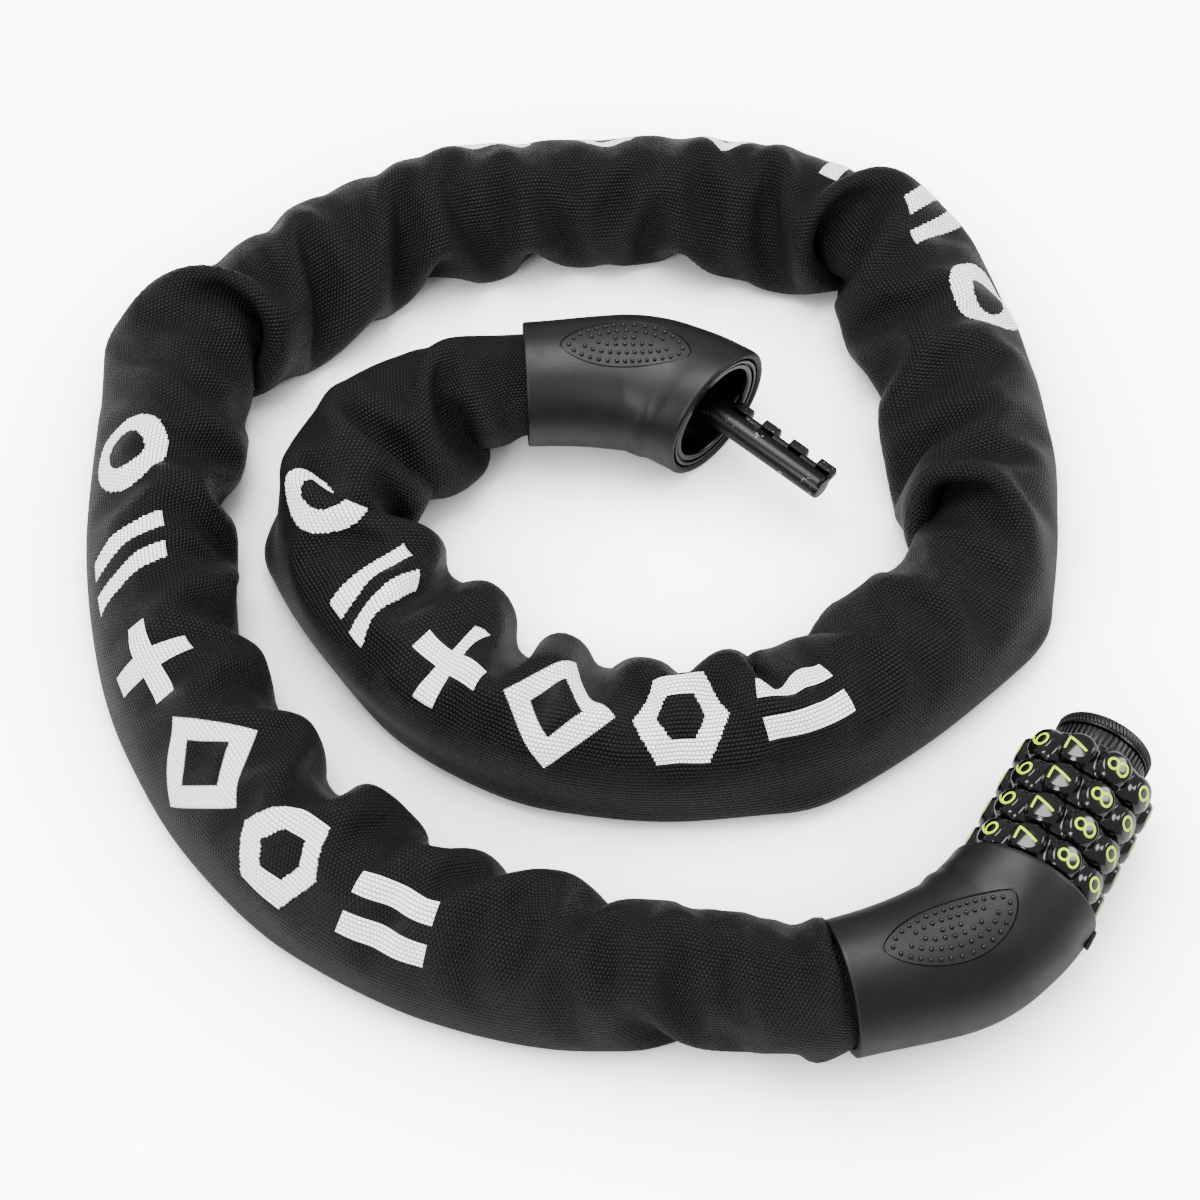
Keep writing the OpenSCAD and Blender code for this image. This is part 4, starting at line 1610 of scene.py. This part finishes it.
                least = self.chain_r - self.chain_flats * np.sin(2 * np.arctan2(b, a)) ** 2
                push = np.maximum(least - r, 0) / r
                x += (a * push)[..., None] * side[near] + (b * push)[..., None] * up[near]
                x[..., 2] = np.maximum(x[..., 2], self.floor)
                x[ends] = held[ends]
            v = np.clip(x - was, -feel.top_speed, feel.top_speed)
        return x

    def build(self) -> bpy.types.Object:
        """Build the sleeve with its cloth coordinates.

        Returns:
            The sleeve.
        """
        grid = self.relax()
        faces = ring_faces(self.rings, self.sides, False)
        mesh = bpy.data.meshes.new("sleeve_cloth")
        mesh.from_pydata([Vector(p) * MM for p in grid.reshape(-1, 3)], [], [f[::-1] for f in faces])
        layer = mesh.uv_layers.new(name="cloth")
        cell_u, cell_v = self.flat_around / self.sides, self.flat_along / (self.rings - 1)
        for polygon in mesh.polygons:
            j = polygon.index % self.sides
            columns = {j: 0, (j + 1) % self.sides: 1}
            for loop in polygon.loop_indices:
                ring, column = divmod(mesh.loops[loop].vertex_index, self.sides)
                u = j + columns[column]
                u = u if u <= self.sides // 2 else u - self.sides
                if j >= self.sides // 2:
                    u = j + columns[column] - self.sides
                layer.data[loop].uv = (u * cell_u, ring * cell_v)
        obj = bpy.data.objects.new("sleeve_cloth", mesh)
        bpy.context.scene.collection.objects.link(obj)
        mesh.materials.append(self.finishes.lining)
        mesh.materials.append(self.finishes.nylon)
        fine = obj.modifiers.new("fine", "SUBSURF")
        fine.levels = fine.render_levels = 1
        wall = obj.modifiers.new("wall", "SOLIDIFY")
        wall.thickness, wall.offset, wall.use_rim = self.wall * MM, -1.0, True
        wall.material_offset = wall.material_offset_rim = 1
        done = settle(obj, "sleeve_woven")
        done.data.shade_smooth()
        show(done, "lock", "sleeve_nylon", "sleeve")
        return done


PINCHES: tuple[tuple[float, float, float, float], ...] = (
    (38, 60, 5, 7), (62, 0, 8, 8), (96, 350, 5, 9), (128, 10, 7, 8), (166, 5, 5, 9), (205, 0, 6, 8),
    (236, 10, 9, 9), (262, 190, 7, 10), (284, 350, 7, 8), (305, 5, 8, 8), (338, 0, 6, 8), (372, 5, 7, 9),
    (412, 0, 6, 8), (445, 10, 7, 9), (478, 0, 7, 8), (505, 350, 8, 8), (522, 90, 4, 9), (548, 0, 8, 8),
    (580, 10, 6, 9), (620, 0, 9, 8), (642, 80, 5, 7), (668, 0, 6, 8), (702, 350, 7, 9), (738, 5, 5, 9),
    (772, 0, 6, 8), (806, 0, 5, 9), (838, 60, 5, 9), (862, 130, 7, 9), (884, 60, 7, 8), (900, 130, 5, 6),
)


# ---------------------------------------------------------------- inner parts and studio


@dataclass
class InnerParts:
    """Pieces that the covers and the sleeve hide; the CAD shapes are kept and only given finishes."""

    finishes: Finishes

    def build(self) -> None:
        """Give each hidden CAD node its procedural material."""
        f = self.finishes
        by_finish = {
            f.zinc: ["core_barrel", "dial_head_anchor", "shank_head_anchor"],
            f.brass: [f"code_ring_{i}" for i in range(1, 5)],
            f.acetal: ["dial_washers"],
            f.chain: ["flat_links", "upright_links"],
            f.liner: ["end_plate"],
            f.knob: ["end_cap"],
            f.bright: [
                *[f"click_spring_{i}" for i in range(1, 5)], "reset_spring", "core_pin", "shank_pin",
                "dial_head_chain_pin", "shank_head_chain_pin", "dial_head_set_screw", "shank_head_set_screw",
                "dial_head_sleeve_clamp", "shank_head_sleeve_clamp",
            ],
        }
        for material, names in by_finish.items():
            for name in names:
                mesh = frame["nodes"][name].data
                mesh.materials.clear()
                mesh.materials.append(material)
                LOG.info("%s: %s", name, material.name)


@dataclass
class Studio:
    """White table, soft light and the camera."""

    target: Point = (-0.5, -13.6, 15.0)
    elevation: float = 58.0
    distance: float = 710.0
    lens: float = 86.4
    floor_reach: float = 9.0
    world_light: float = 0.5
    lamps: tuple[tuple[str, Point, float, float], ...] = (
        ("overhead", (-120, 200, 800), 520, 10.0),
        ("front_left", (-420, -520, 520), 260, 3.6),
        ("right", (620, 60, 380), 240, 2.0),
    )

    def lamp(self, name: str, at: Point, size: float, power: float) -> None:
        """Add a soft square lamp that faces the lock.

        Args:
            name: Name of the lamp.
            at: Place in millimetres.
            size: Side in millimetres.
            power: Watts.
        """
        data = bpy.data.lights.new(name, "AREA")
        data.shape, data.size, data.energy = "SQUARE", size * MM, power
        lamp = bpy.data.objects.new(name, data)
        lamp.location = Vector(at) * MM
        lamp.rotation_euler = (Vector(self.target) - Vector(at)).to_track_quat("-Z", "Y").to_euler()
        bpy.context.scene.collection.objects.link(lamp)

    @staticmethod
    def table_material() -> bpy.types.Material:
        """White table that the camera sees a little overexposed, with only soft shadows, which are painted
        shade: ambient occlusion darkens its glow near the lock.

        Returns:
            The material.
        """
        material = FlatPaint("white_table", "#f4f4f4", 0.6).build()
        tree = material.node_tree
        seen = add_node(tree, "ShaderNodeLightPath").outputs["Is Camera Ray"]
        shader = tree.nodes["Principled BSDF"]
        painted_shadow_reach, falloff, brightness = 45 * MM, 2.6, 9.0
        # ambient occlusion dims the camera-only glow near the lock: a painted contact shadow on the table
        near = add_node(tree, "ShaderNodeAmbientOcclusion", {"Distance": painted_shadow_reach}).outputs["AO"]
        painted_glow = calc(tree, "MULTIPLY", calc(tree, "POWER", near, falloff), brightness)
        tree.links.new(calc(tree, "MULTIPLY", seen, painted_glow), shader.inputs["Emission Strength"])
        shader.inputs["Emission Color"].default_value = linear("#ffffff")
        return material

    def build(self) -> None:
        """Build the table, the lamps, the world and the camera."""
        table = bpy.data.meshes.new("table")
        far = self.floor_reach
        corners = [(-far, -far, 0), (far, -far, 0), (far, far, 0), (-far, far, 0)]
        table.from_pydata(corners, [], [(0, 1, 2, 3)])
        table.materials.append(self.table_material())
        floor = bpy.data.objects.new("table", table)
        bpy.context.scene.collection.objects.link(floor)
        world = bpy.data.worlds.new("studio")
        world.use_nodes = True
        sky = world.node_tree.nodes["Background"]
        sky.inputs[0].default_value, sky.inputs[1].default_value = linear("#ffffff"), self.world_light
        bpy.context.scene.world = world
        for lamp in self.lamps:
            self.lamp(*lamp)
        data = bpy.data.cameras.new("camera")
        data.lens, data.sensor_width = self.lens, 36.0
        data.clip_start, data.clip_end = 0.05, 30
        camera = bpy.data.objects.new("camera", data)
        up = math.radians(self.elevation)
        back = Vector((0, -math.cos(up), math.sin(up)))
        camera.location = (Vector(self.target) + back * self.distance) * MM
        camera.rotation_euler = (-back).to_track_quat("-Z", "Y").to_euler()
        bpy.context.scene.collection.objects.link(camera)
        bpy.context.scene.camera = camera


def main() -> None:
    """Build the lock head by head, then the sleeve and the studio."""
    finishes = Finishes()
    for name, head, flipped in (("dial_head", DIAL_HEAD, False), ("shank_head", SHANK_HEAD, True)):
        HeadCover(f"{name}_cover", head, finishes).build()
        for level, pole in (("top", Pole.UPPER), ("bottom", Pole.LOWER)):
            side = pole if not flipped else (Pole.LOWER if pole is Pole.UPPER else Pole.UPPER)
            GripPad(f"{name}_grip_{level}", head, side, finishes).build()
    for number in range(1, 5):
        Dial(number, finishes).build()
    Knob(finishes).build()
    CupLiner(finishes).build()
    ToothedShank(finishes).build()
    Sleeve(finishes).build()
    InnerParts(finishes).build()
    Studio().build()


if __name__ == "__main__":
    main()
